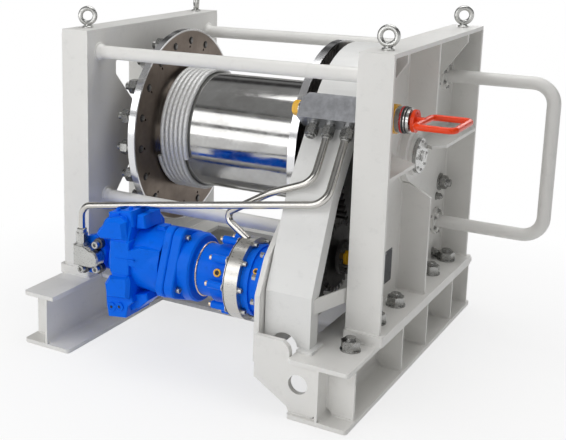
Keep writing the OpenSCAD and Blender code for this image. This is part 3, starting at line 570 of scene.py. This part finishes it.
def rounded(y0, y1, z0, z1, r, steps=6):
    """A rectangle with rounded corners."""
    out = []
    for cy, cz, start in ((y1 - r, z1 - r, 0), (y0 + r, z1 - r, 90),
                          (y0 + r, z0 + r, 180), (y1 - r, z0 + r, 270)):
        for i in range(steps + 1):
            g = math.radians(start + 90 * i / steps)
            out.append((cy + r * math.cos(g), cz + r * math.sin(g)))
    return out


# Weld beads

RIPPLE = 0.84  # a bead's size between its ripples
TIP = 0.55     # and at its two ends


def bead(kit, a, b, size=6.0):
    """A rippled bead along the corner line from a to b, in the winch's millimetres."""
    a, b = at(*a), at(*b)
    n = max(2, int((b - a).length / (4.2 * MM)))
    path = [a.lerp(b, i / n) for i in range(n + 1)]
    tube(kit, path,
         lambda i, g: size * (1.0 if i % 2 else RIPPLE) * (TIP if i in (0, n) else 1), 7)


def bead_ring(kit, x, y, z, radius, size):
    """A rippled bead round a tube that runs along X."""
    n = int(TAU * radius / 4.5) // 2 * 2
    path = [at(x, y + radius * math.cos(TAU * i / n), z + radius * math.sin(TAU * i / n))
            for i in range(n)]
    tube(kit, path, lambda i, g: size * (1.0 if i % 2 else RIPPLE), 7, close=True)


MID_RIB, SHORT_RIBS, LEVEL_RIB = (440, 452), (118, 130, 759, 771), (735, 747)  # their sides
MID_ENDS = (FOOT + 392, FOOT + 622)  # where the bearing parts the middle rib
LEVEL_ENDS = (331, 592)              # and the level one
SHORT_LENGTH = 163


def frame_welds(s):
    """Beads of one side frame: round its web and ribs, and round the bearing's housing."""
    k = Kit()
    x, e = s * WEB, s * (EDGE - 4)
    back, under = DEEP - PLATE, TOP - PLATE
    for y in (PLATE, back):
        bead(k, (x, y, FOOT), (x, y, under))
    bead(k, (x, PLATE, under), (x, back, under))
    bead(k, (x, PLATE, FOOT), (x, back, FOOT))
    for y in (PLATE, back):
        bead(k, (x, y, FOOT), (e, y, FOOT))
        bead(k, (x, y, under), (e, y, under), 4)
    for y in (0, DEEP):
        bead(k, (s * (WEB_IN + 2), y, FOOT), (e, y, FOOT))
    for y in MID_RIB:
        bead(k, (x, y, FOOT), (x, y, MID_ENDS[0]), 5)
        bead(k, (x, y, FOOT), (e, y, FOOT), 5)
        bead(k, (x, y, MID_ENDS[1]), (x, y, under), 5)
        bead(k, (x, y, under), (e, y, under), 5)
    for y in SHORT_RIBS:
        bead(k, (x, y, under - SHORT_LENGTH), (x, y, under), 5)
        bead(k, (x, y, under), (e, y, under), 5)
    for z in LEVEL_RIB:
        bead(k, (x, PLATE, z), (x, LEVEL_ENDS[0], z), 5)
        bead(k, (x, LEVEL_ENDS[1], z), (x, back, z), 5)
        bead(k, (x, PLATE, z), (e, PLATE, z), 5)
        bead(k, (x, back, z), (e, back, z), 5)
    bead_ring(k, x, AXIS_Y, AXIS_Z, 97, 6)
    bead_ring(k, s * WEB_IN, AXIS_Y, AXIS_Z, 126, 6)
    return k


BEAM_RIBS, RIB_HALF = (-171, 257, 515, 811, 1020), 5
BEAM_INSIDE = (15, 185)   # inner faces of the beam's flanges
FOOT_ENDS = (-12, 970)    # front and back edge of the side frame's foot plate


def beam_welds(s):
    """Beads of one floor beam: round its ribs and the foot of the side frame."""
    k = Kit()
    for y in BEAM_RIBS:
        for d in (-RIB_HALF, RIB_HALF):
            bead(k, (s * 531.5, y + d, 36), (s * 531.5, y + d, 164), 4.5)
            for z in BEAM_INSIDE:
                bead(k, (s * 553, y + d, z), (s * 619, y + d, z), 4.5)
    bead(k, (s * 508, FOOT_ENDS[0], BEAM_TOP), (s * 508, FOOT_ENDS[1], BEAM_TOP), 5)
    for y in FOOT_ENDS:
        bead(k, (s * 510, y, BEAM_TOP), (s * 626, y, BEAM_TOP), 5)
    return k


for s, side in SIDES:
    frame_welds(s).piece(f"{side}_frame_welds", frame_paint, slot="frame_paint", angle=60)
    beam_welds(s).piece(f"{side}_beam_welds", frame_paint, slot="frame_paint", angle=60)

k = Kit()
for s, y, z in TIE_ENDS:
    bead_ring(k, s * (WEB_IN - 0.5), y, z, 33.5, 4)
bead_ring(k, 285.5, LOW_TIE_Y, FRONT_TIE, 33.5, 4)
for z in RAIL_Z:
    bead_ring(k, 536.5, RAIL_Y, z, 25, 4)
k.piece("tube_welds", frame_paint, slot="frame_paint", angle=60)

k = Kit()
for a, b in (((522.5, -230, 31), (522.5, -230, 169)), ((430, -230, 15), (506, -230, 15)),
             ((430, -230, 185), (506, -230, 185)),
             ((450, -189, BEAM_TOP), (480, -189, BEAM_TOP))):
    bead(k, a, b, 4)
k.piece("lug_welds", frame_paint, slot="frame_paint", angle=60)


# Nuts, washers and studs

k = Kit()
spots = [(s * 577, y, FOOT) for s in (-1, 1) for y in (104, 289, 669, 854)]
for x, y, z in spots + [(562, -75, BEAM_TOP)]:
    bolt_end(k, (x, y, z), UP, (66, 5), (55, 29), (36, 11), 0.3 + x * 0.01 + y)
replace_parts(k.piece("floor_nuts", nut_steel, slot="zinc_steel"), "base_bolts")

k = Kit()
for s, y, z in TIE_ENDS:
    bolt_end(k, (s * WEB, y, z), (s, 0, 0), (68, 6), (46, 24), (30, 15), 0.4 * s + y)
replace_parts(k.piece("tie_nuts", nut_steel, slot="zinc_steel"), "tie_bolts")

BOLT_CIRCLE, BOLTS = 335, 18  # radius and number of the drum flange's bolts
k, dark, tips = Kit(), Kit(), Kit()
for i in range(BOLTS):
    g = math.radians(360 / BOLTS * i + 6)
    washer(k, round_drum(-394, BOLT_CIRCLE, g), LEFT, 60, 7)
    lathe(k, round_drum(-401, BOLT_CIRCLE, g), LEFT, [(0, 23), (11, 23), (12, 22)], 32)
    hex_nut(k, round_drum(-413, BOLT_CIRCLE, g), LEFT, 50, 32, turn=g, both=True)
    stud(k, round_drum(-444.5, BOLT_CIRCLE, g), LEFT, 30, 20)
    lathe(dark, round_drum(-366, BOLT_CIRCLE, g), RIGHT, [(0, 15), (0.3, 14.7)], 28)
    hex_nut(tips, round_drum(-365.8, BOLT_CIRCLE, g), RIGHT, 18, 4, turn=g)
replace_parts(k.piece("flange_nuts", nut_steel, "drum", slot="zinc_steel"), "drum_bolts")
dark.piece("flange_hole_shade", hole_dark, "drum", slot="turned_steel")
tips.piece("flange_screw_tips", gear_steel, "drum", slot="zinc_steel")


# Screws round the ends of the guard rail, and three more on the web

RAIL_CIRCLE = 41
k = Kit()
for z in RAIL_Z:
    for i in range(6):
        g = math.radians(60 * i + 30)
        spot = (WEB, RAIL_Y + RAIL_CIRCLE * math.cos(g), z + RAIL_CIRCLE * math.sin(g))
        bolt_end(k, spot, RIGHT, (24, 3), (18, 10), (12, 8), g, 0.5)
for y, z in ((850, 484), (846, 262), (876, 244)):
    bolt_end(k, (WEB, y, z), RIGHT, (32, 3), (24, 13), (16, 9), z, 0.5)
k.piece("rail_screws", nut_steel, slot="zinc_steel")


# Lifting rings: forged ring, foot and collar

RING_R, RING_WIRE = 26.8, 9.2
k = Kit()
for x, y, turn in ((573, 88, 8), (573, 880, 26), (-573, 88, 32), (-573, 880, -50)):
    g = math.radians(turn)
    flat = Vector((math.cos(g), math.sin(g), 0))
    path = []
    for i in range(48):
        h = TAU * i / 48
        way = flat * math.cos(h) + Vector((0, 0, math.sin(h)))
        path.append(at(x, y, TOP + 44) + way * RING_R * MM)
    tube(k, path, RING_WIRE, 20, close=True)
    lathe(k, at(x, y, TOP), UP, [(0, 20), (5, 20), (7, 18), (8, 13), (12, 11.5), (17, 13)], 36)
    hex_nut(k, at(x, y, TOP - PLATE), DOWN, 30, 14, turn=g)
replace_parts(k.piece("lifting_rings", zinc, slot="zinc_steel"), "eye_bolts")


# Rope: six turns of twisted strands

def rope():
    """A helix on the barrel, whose section has six lobes that twist along it."""
    turns, per_turn, lay = 6, 240, 130.0
    radius, lobe = 9.6, 0.26  # mm, and how deep the valleys between the lobes are
    first_x, width, start = -355, 118.0, math.radians(200)
    wound = 220.3 + 10  # the barrel's radius and half a rope
    n = turns * per_turn
    path = [round_drum(first_x + width * i / n, wound, TAU * i / per_turn + start)
            for i in range(n + 1)]
    run = TAU * wound / per_turn

    def strands(i, g):
        twist = TAU * (i * run) / lay
        c = abs(math.cos(3 * (g - twist)))
        return radius * (1 - lobe + lobe * c ** 0.7)
    kit = Kit()
    tube(kit, path, strands, 30)
    return kit


strand_piece = rope().piece("rope_strands", rope_metal, "drum", slot="wire_rope", angle=70)
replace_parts(strand_piece, "rope_turns")


# Caps of the bearings at the drum shaft

CAP = [(0, 61), (0, 62), (3, 62), (3.6, 60.8), (4.6, 60.8), (5.2, 62), (13.5, 62), (15, 60.5),
       (15, 20), (13.5, 19.5)]
CAP_X, CAP_CIRCLE = 565, 50
for s, side in SIDES:
    k = Kit()
    ax = (s, 0, 0)
    lathe(k, at(s * CAP_X, AXIS_Y, AXIS_Z), ax, CAP, 72)
    for i in range(8):
        g = math.radians(45 * i)
        socket_head(k, round_drum(s * (CAP_X + 14.8), CAP_CIRCLE, g), ax, 10, 4, turn=g)
    hex_nut(k, at(s * (CAP_X + 13), AXIS_Y, AXIS_Z), ax, 34, 11, turn=0.2)
    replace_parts(k.piece(f"{side}_shaft_cap", bright, slot="bright_steel"), "bearing_caps")


# Pipes, their fittings and the valve

SLOPE = math.radians(54)  # of the gear case and the ports
PORTS = (346, 402, 465)   # X of the three ports under the block
ELBOW = (-479, -88, 318)  # middle of the elbow on the motor
ELBOW_HALF = 26           # half its depth along Y
PIPE_R = 12.45


def on_slope(x, s):
    """A point s mm down the slope from the valve's axis."""
    return (x, VALVE_Y - math.cos(SLOPE) * s, VALVE_Z - math.sin(SLOPE) * s)


def pipe(name, points, radii, node):
    """A bent tube of stainless steel that replaces a node."""
    kit = Kit()
    tube(kit, [at(*p) for p in bends(points, radii)], PIPE_R, 32)
    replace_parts(kit.piece(name, stainless, slot="stainless_pipe", angle=50), node)


pipe("long_tube", [(ELBOW[0], ELBOW[1], ELBOW[2] + 84), (ELBOW[0], ELBOW[1], FOOT + 275),
                   on_slope(PORTS[2], 318), on_slope(PORTS[2], 31)], [48, 60], "long_pipe")
pipe("short_tube", [on_slope(PORTS[1], 31), on_slope(PORTS[1], 250), (258, -60, FOOT + 429),
                    (77, -40, FOOT + 321), (186, -62, MOTOR_Z + 133)], [60, 160, 26],
     "short_pipe")

k = Kit()
down = -Vector((0, math.cos(SLOPE), math.sin(SLOPE)))
for i, x in enumerate(PORTS):
    p = at(*on_slope(x, 45.3))
    lathe(k, p, down, [(0, 17), (9, 17), (9.5, 16), (12, 16)], 36)
    hex_nut(k, p + down * 12 * MM, down, 38, 33, turn=0.26 + i * 0.3, both=True)
    lathe(k, p + down * 45 * MM, down, [(0, 15.5), (6, 15.5), (8.8, 13)], 36)
    if i == 0:  # the port without a pipe has a plug
        lathe(k, p + down * 53 * MM, down, [(0, 12), (0.8, 11)], 36)
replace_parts(k.piece("hex_fittings", nut_steel, slot="zinc_steel"), "pipe_fittings")

k = Kit()
hex_nut(k, at(285, VALVE_Y, VALVE_Z), LEFT, 46, 22, turn=0.1)
lathe(k, at(262, VALVE_Y, VALVE_Z), LEFT, [(-1, 20), (0, 20), (0.8, 18)], 36)
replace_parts(k.piece("valve_end_cap", yellow, slot="yellow_plastic"), "manifold_plug")
k = Kit()
lathe(k, at(295, VALVE_Y, VALVE_Z), LEFT,
      [(0, 25), (4, 25), (4.6, 22.5), (7, 22.5), (7.5, 25), (10, 25)], 40)
k.piece("valve_end_ring", bright, slot="bright_steel")


def sleeve(name, material, profile, slot="bright_steel"):
    """A ring or sleeve on the valve's axis. The profile's first numbers are X."""
    kit = Kit()
    lathe(kit, at(0, VALVE_Y, VALVE_Z), RIGHT, profile, 64)
    return kit.piece(name, material, slot=slot)


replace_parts(sleeve("valve_sleeve", bright, [(509, 40), (598, 40), (598, 42.5), (628, 42.5),
                                            (629, 41), (657, 38)]), "valve_collar")
sleeve("valve_yellow_ring", yellow,
       [(597, 41), (597, 46.5), (598, 47), (606, 47), (607, 44.5), (611, 44.5), (611.5, 46.5),
        (614, 46.5), (614, 41)], "yellow_plastic")
sleeve("valve_red_ring", red, [(630, 40), (630, 42.8), (634, 42.8), (634, 40)])
sleeve("valve_black_ring", black, [(636, 39), (636, 42.9), (641, 42.9), (641, 39)])
sleeve("valve_black_lip", black, [(645, 38), (645, 41.5), (649, 41.5), (649, 38)])


# Elbow on the motor, with its clamp and screws

def elbow():
    """A forged elbow: its round-ended block, the neck that turns up, a nut and a sleeve."""
    x0, y0, z0 = ELBOW
    left, right, half, neck = 25, 52, 34, 46  # the block's reach from its middle
    kit = Kit()
    outline = [(x0 - left, z0 - half), (x0 + right, z0 - half)]
    for i in range(1, 12):
        g = math.pi * i / 12
        outline.append((x0 + right + half * math.sin(g), z0 - half * math.cos(g)))
    outline += [(x0 + 46, z0 + half), (x0 + 16, z0 + neck), (x0 - left, z0 + neck)]
    wedge(kit, y0 - ELBOW_HALF, y0 + ELBOW_HALF, outline, 6)
    lathe(kit, at(x0, y0, z0 + 44), UP, [(0, 25), (5, 25), (6, 22), (10, 22)], 40)
    hex_nut(kit, at(x0, y0, z0 + 53), UP, 40, 38, turn=0.4, both=True)
    lathe(kit, at(x0, y0, z0 + 90), UP, [(0, 18), (14, 18), (17, 13)], 40)
    return kit


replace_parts(elbow().piece("elbow_fitting", zinc, slot="zinc_steel"), "pipe_elbow")
PAD_Y = ELBOW[1] + ELBOW_HALF  # the motor's pad behind the elbow
k, h = Kit(), Kit()
for dx, dz in ((66, 54), (1, -50), (67, -40)):
    x, z = ELBOW[0] + dx, ELBOW[2] + dz
    lathe(h, at(x, PAD_Y + 1, z), FORWARD, [(0, 20), (20, 20), (21, 18)], 32)
    socket_head(k, at(x, PAD_Y - 19, z), FORWARD, 28, 22, turn=0.2)
k.piece("elbow_screws", zinc, slot="zinc_steel")
h.piece("elbow_clamp", clamp_steel, slot="zinc_steel")


# Screws, rings, painted edge highlights and plugs along the drive

MOUNT, MOUNT_BACK, MOUNT_CIRCLE = -20, -88, 126  # faces and bolt circle of the motor's flange
BRAKE, BRAKE_CIRCLE = 108, 126                   # the brake's flange
RING, RING_CIRCLE = 218, 127                     # the steel ring's right face
GEARBOX, GEARBOX_CIRCLE = 274, 119               # the gearbox's flange
screws, warm = Kit(), Kit()
for i in range(4):
    g = 115 + 90 * i
    socket_head(screws, round_motor(MOUNT, MOUNT_CIRCLE, g), RIGHT, 21, 14, turn=0.3)
    socket_head(warm, round_motor(MOUNT_BACK, MOUNT_CIRCLE, g), LEFT, 20, 12, turn=0.1)
for i in range(9):
    g = 40 * (i + 0.5)
    washer(screws, round_motor(BRAKE, BRAKE_CIRCLE, g), LEFT, 20, 3)
    socket_head(warm, round_motor(BRAKE - 3, BRAKE_CIRCLE, g), LEFT, 17, 8, turn=g)
    washer(screws, round_motor(BRAKE + 53.5, BRAKE_CIRCLE, g), RIGHT, 30, 3.4)
    washer(screws, round_motor(RING, RING_CIRCLE, g), RIGHT, 22, 2.5)
    socket_head(screws, round_motor(RING + 2.5, RING_CIRCLE, g), RIGHT, 17, 12, turn=g)
for i in range(9):
    g = 40 * (i + 0.5) - 24
    washer(screws, round_motor(GEARBOX, GEARBOX_CIRCLE, g), LEFT, 22, 2)
    hex_nut(screws, round_motor(GEARBOX - 2, GEARBOX_CIRCLE, g), LEFT, 18, 12, turn=i)
screws.piece("drive_screws", zinc, slot="zinc_steel")
warm.piece("drive_tinted_screws", bronze, slot="zinc_steel")


def hoop(name, x, r, wire):
    """A thin bronze ring round the drive, standing as a painted highlight along an edge."""
    kit = Kit()
    tube(kit, [round_motor(x, r, 360 * i / 96) for i in range(96)], wire, 10, close=True)
    kit.piece(name, bronze, slot="zinc_steel")


# Painted highlights: bronze rings along the edge of the neck and along the edge of the gearbox's
# flange
hoop("neck_edge_highlight", 38, 91.6, 3.2)
hoop("gearbox_edge_highlight", 232.6, 117.2, 1.3)
k = Kit()
lathe(k, round_motor(168, 0, 0), RIGHT, [(0, 137.4), (0, 139.2), (2.2, 139.2), (2.2, 137.4)], 96)
k.piece("ring_edge_line", black, slot="zinc_steel")


def port(kit, hollow, x, r, degrees, size):
    """A ring that stands out round an oil port, and a near-black disc of painted shade at the
    floor of its bore.
    """
    g = math.radians(degrees)
    out = Vector((0, math.cos(g), math.sin(g)))
    foot = round_motor(x, r - 3, degrees)
    lathe(kit, foot, out, [(0, size), (6, size), (7, size - 1), (7, size * 0.6),
                           (2.5, size * 0.55)], 32)
    lathe(hollow, foot, out, [(2.6, size * 0.53), (3.6, size * 0.50)], 24)


k, h = Kit(), Kit()
port(k, h, 125, 102, 162, 14)
port(k, h, 264, 112, 146, 10)
k.piece("oil_port_rings", yellow, slot="yellow_plastic")
h.piece("oil_port_shade", hole_dark, slot="gear_steel")


# Casting forms of the motor: flange, shoulders, port faces, ribs and plugs

def turned_square(half, corner, degrees):
    """A square round the motor's axis with rounded corners, turned by the given angle."""
    c, s = math.cos(math.radians(degrees)), math.sin(math.radians(degrees))
    return [(MOTOR_Y + y * c - z * s, MOTOR_Z + y * s + z * c)
            for y, z in rounded(-half, half, -half, half, corner, 5)]


FLANGE_TURN = -20  # degrees
k = Kit()
slab(k, MOUNT_BACK, -58, turned_square(123, 40, FLANGE_TURN), 4)
slab(k, -57, MOUNT, turned_square(121, 42, FLANGE_TURN), 4)
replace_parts(k.piece("motor_mount_flange", blue_paint, slot="blue_paint", angle=28),
            "motor_flange")

BARREL = [(0, 112), (66, 112), (72, 116), (170, 120), (206, 121)]
FRONT = [(-188, 322), (-188, 442), (-158, 506), (-120, 520), (14, 516), (60, 470), (60, 262),
         (20, 222), (-120, 206), (-166, 236)]
FRONT_BAND = [(-190, 326), (-190, 440), (-180, 446), (-60, 446), (-60, 320), (-182, 320)]
PAD = [(-414, 383), (-390, 334), (-414, 256), (-450, 246), (-492, 250), (-502, 268),
       (-502, 358), (-480, 384), (-440, 396)]
LOW_BLOCK = [(-312, 250), (-206, 250), (-196, 224), (-216, 206), (-226, 160), (-300, 150),
             (-308, 190)]
BOSS = ((-208, -189, 362, 414), (-166, -181, 354, 428), (-94, -168, 352, 428))
BOSS_BACK = -60

k = Kit()
lathe(k, round_motor(-300, 0, 0), RIGHT, BARREL, 72)
slab(k, -281, -212, FRONT, 6)
slab(k, -283, -206, FRONT_BAND, 3)
for y0, y1, inset, outline in (
        (-196, -40, 15, [(-345, 452), (-330, 436), (-216, 446), (-222, 512), (-250, 524),
                         (-300, 512)]),
        (-198, -60, 13, [(-308, 276), (-288, 308), (-206, 320), (-200, 300), (-206, 236),
                         (-300, 228)]),
        (-26, 50, 6, [(-344, 262), (-274, 250), (-274, 490), (-344, 440)])):
    wedge(k, y0, y1, outline, inset)
k.stack([[at(x, y, z) for y, z in ((front, low), (front, high), (BOSS_BACK, high + 12),
                                   (BOSS_BACK, low - 12))]
         for x, front, low, high in BOSS])
wedge(k, -192, -180, [(-262, 377), (-262, 381), (-182, 385), (-182, 381)], 1)
slab(k, -428, -340, rounded(-30, 52, 256, 452, 26), 6)
slab(k, -454, -424, rounded(-30, 36, 286, 412, 20), 5)
wedge(k, PAD_Y, PAD_Y + 34, PAD, 3)
for y0, y1, inset, outline in (
        (-150, -30, 5, [(-318, 490), (-318, 524), (-268, 532), (-262, 490)]),
        (-160, -44, 6, [(-262, 490), (-262, 540), (-214, 546), (-206, 490)]),
        (-140, -30, 5, [(-208, 480), (-204, 530), (-176, 532), (-168, 486)]),
        (-92, -44, 4, [(-158, 466), (-150, 488), (-122, 490), (-112, 470)]),
        (-176, -20, 3, LOW_BLOCK),
        (-150, -60, 5, [(-222, 240), (-158, 256), (-150, 232), (-186, 196), (-222, 178)])):
    wedge(k, y0, y1, outline, inset)
for z in (424, 354):
    wedge(k, -128, -60, [(-170, z - 4), (-170, z + 4), (-98, z + 4), (-98, z - 4)], 2)
casting = k.piece("motor_casting", blue_paint, slot="blue_paint", angle=28)
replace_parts(casting, "motor_body", "motor_ports")

k, h = Kit(), Kit()
LOW_PLUGS = ((-285, 190), (-252, 197))
for x, z in LOW_PLUGS:
    lathe(k, at(x, -175, z), FORWARD, [(0, 17), (5, 17), (6, 16), (6, 12), (4, 11)], 32)
lathe(k, at(-238, -159, 516), FORWARD, [(0, 13), (5, 13), (6, 12), (6, 7), (4, 6)], 28)
for y in (-124, -70):
    for x, z in ((-292, 528), (-238, 542)):
        socket_head(k, at(x, y, z), UP, 16, 10)
for x, z in reversed(LOW_PLUGS):
    lathe(h, at(x, -180.5, z), FORWARD, [(0, 5), (0.5, 4.6)], 24)
k.piece("motor_plugs", blue_paint, slot="blue_paint")
h.piece("motor_plug_shade", hole_dark, slot="gear_steel")


# The bare plate on the right web, with its rivets

k = Kit()
front, back, low, high = 308, 376, 290, 408
k.stack([[at(WEB + d, y, z) for y, z in rounded(front + e, back - e, low + e, high - e, 4)]
         for d, e in ((0, 0), (1.0, 0), (1.5, 0.5))])
k.piece("bare_plate", plate_dark, slot="bright_steel")
k = Kit()
for y in (front + 6, back - 6):
    for z in (low + 6, high - 6):
        lathe(k, at(WEB + 1.4, y, z), RIGHT, [(0, 3.2), (0.8, 3.0), (1.5, 2.0), (1.9, 0.6)], 20)
k.piece("plate_rivets", bright, slot="bright_steel")


# Floor: plain paper that takes the shadow, and turns white away from the winch

REACH = 30
mesh = bpy.data.meshes.new("floor")
mesh.from_pydata([(x * REACH, y * REACH, 0) for x, y in ((-1, -1), (1, -1), (1, 1), (-1, 1))],
                 [], [(0, 1, 2, 3)])
floor = bpy.data.objects.new("floor", mesh)
bpy.context.scene.collection.objects.link(floor)
m = Mat("floor_paper", 0.9, 0.0, 0.2)
m.colour(m.ramp(m.noise(0.7, 3), [(0.3, 0.905), (0.7, 0.925)]))
floor_x, floor_y, _ = m.axes()
away = m.math("MULTIPLY", m.distance(floor_x, floor_y), 0.2)  # in units of five metres
whiter = m.ramp(away, [(0.10, 0.70), (0.36, 1.0)])
camera_ray, mirrored = m.rays()
seen = m.math("ADD", camera_ray, mirrored, clamp=True)
glow = m.node("ShaderNodeEmission").outputs["Emission"]
m.join(m.mix_shader(m.math("MULTIPLY", whiter, seen), m.b.outputs["BSDF"], glow),
       m.t.nodes["Material Output"].inputs["Surface"])
mesh.materials.append(m.m)


# Lamps and world

def softbox(name, place, target, size, power):
    """A rectangular lamp that faces the target. Lengths in metres, power in watts."""
    light = bpy.data.lights.new(name, "AREA")
    light.shape = "RECTANGLE"
    light.size, light.size_y = size
    light.energy = power
    obj = bpy.data.objects.new(name, light)
    obj.location = place
    obj.rotation_euler = (Vector(target) - Vector(place)).to_track_quat("-Z", "Y").to_euler()
    bpy.context.scene.collection.objects.link(obj)


softbox("key", (-1.6, -4.8, 3.5), (0, 0, 0.5), (6.4, 2.0), 92)
softbox("key_low", (-1.6, -4.9, 1.2), (0, 0, 0.5), (6.4, 1.3), 58)
softbox("top", (0.2, 0.4, 4.6), (0, 0, 0.6), (3.6, 2.6), 90)
softbox("right", (5.2, -1.6, 2.4), (0, 0, 0.5), (2.4, 2.0), 12)
softbox("back", (0.5, 5.0, 3.0), (0, 0, 0.6), (3.0, 2.0), 50)

# Pale and dark bands from the horizon up, which give the metal its streaks
BANDS = [(0.0, 0.85), (0.07, 0.80), (0.10, 0.20), (0.16, 0.15), (0.19, 0.75), (0.26, 0.80),
         (0.30, 0.18), (0.41, 0.12), (0.45, 0.70), (0.54, 0.75), (0.58, 0.15), (0.70, 0.14),
         (0.75, 0.90), (0.90, 0.90), (1.0, 0.5)]
world = bpy.data.worlds.new("studio")
bpy.context.scene.world = world
world.use_nodes = True
sky = Tree(world.node_tree)
split = sky.node("ShaderNodeSeparateXYZ")
sky.join(sky.node("ShaderNodeTexCoord").outputs["Generated"], split.inputs["Vector"])
studio = sky.t.nodes["Background"]
sky.join(sky.ramp(split.outputs["Z"], BANDS), studio.inputs["Color"])
studio.inputs["Strength"].default_value = 0.36
white = sky.node("ShaderNodeBackground")
white.inputs["Color"].default_value = (1, 1, 1, 1)
low_sky = sky.node("ShaderNodeMapRange")
low_sky.inputs["From Min"].default_value = 0.10
low_sky.inputs["From Max"].default_value = 0.05
sky.join(split.outputs["Z"], low_sky.inputs["Value"])
camera_ray, mirrored = sky.rays()
mirrored_low = sky.math("MULTIPLY", mirrored, low_sky.outputs["Result"], clamp=True)
shown = sky.math("ADD", camera_ray, mirrored_low, clamp=True)
sky.join(sky.mix_shader(shown, studio.outputs["Background"], white.outputs["Background"]),
         sky.t.nodes["World Output"].inputs["Surface"])


# Camera, fitted to the frame's corners in the photograph

YAW, PITCH = math.radians(33.94), math.radians(12.56)
FOCAL, CENTRE_X, CENTRE_Y, WIDE, HIGH = 1017.86, 129.25, 140.97, 566, 440  # in pixels
SENSOR = 36
cam = bpy.data.cameras.new("camera")
cam.sensor_fit = "HORIZONTAL"
cam.sensor_width = SENSOR
cam.lens = FOCAL * SENSOR / WIDE
cam.shift_x = (WIDE / 2 - CENTRE_X) / WIDE
cam.shift_y = (CENTRE_Y - HIGH / 2) / WIDE
cam.clip_end = 100
eye = bpy.data.objects.new("camera", cam)
eye.location = (1.5038, -3.3486, 1.5429)
eye.rotation_euler = (math.pi / 2 - PITCH, 0, YAW)
bpy.context.scene.collection.objects.link(eye)
bpy.context.scene.camera = eye
bpy.context.scene.view_settings.view_transform = "Standard"
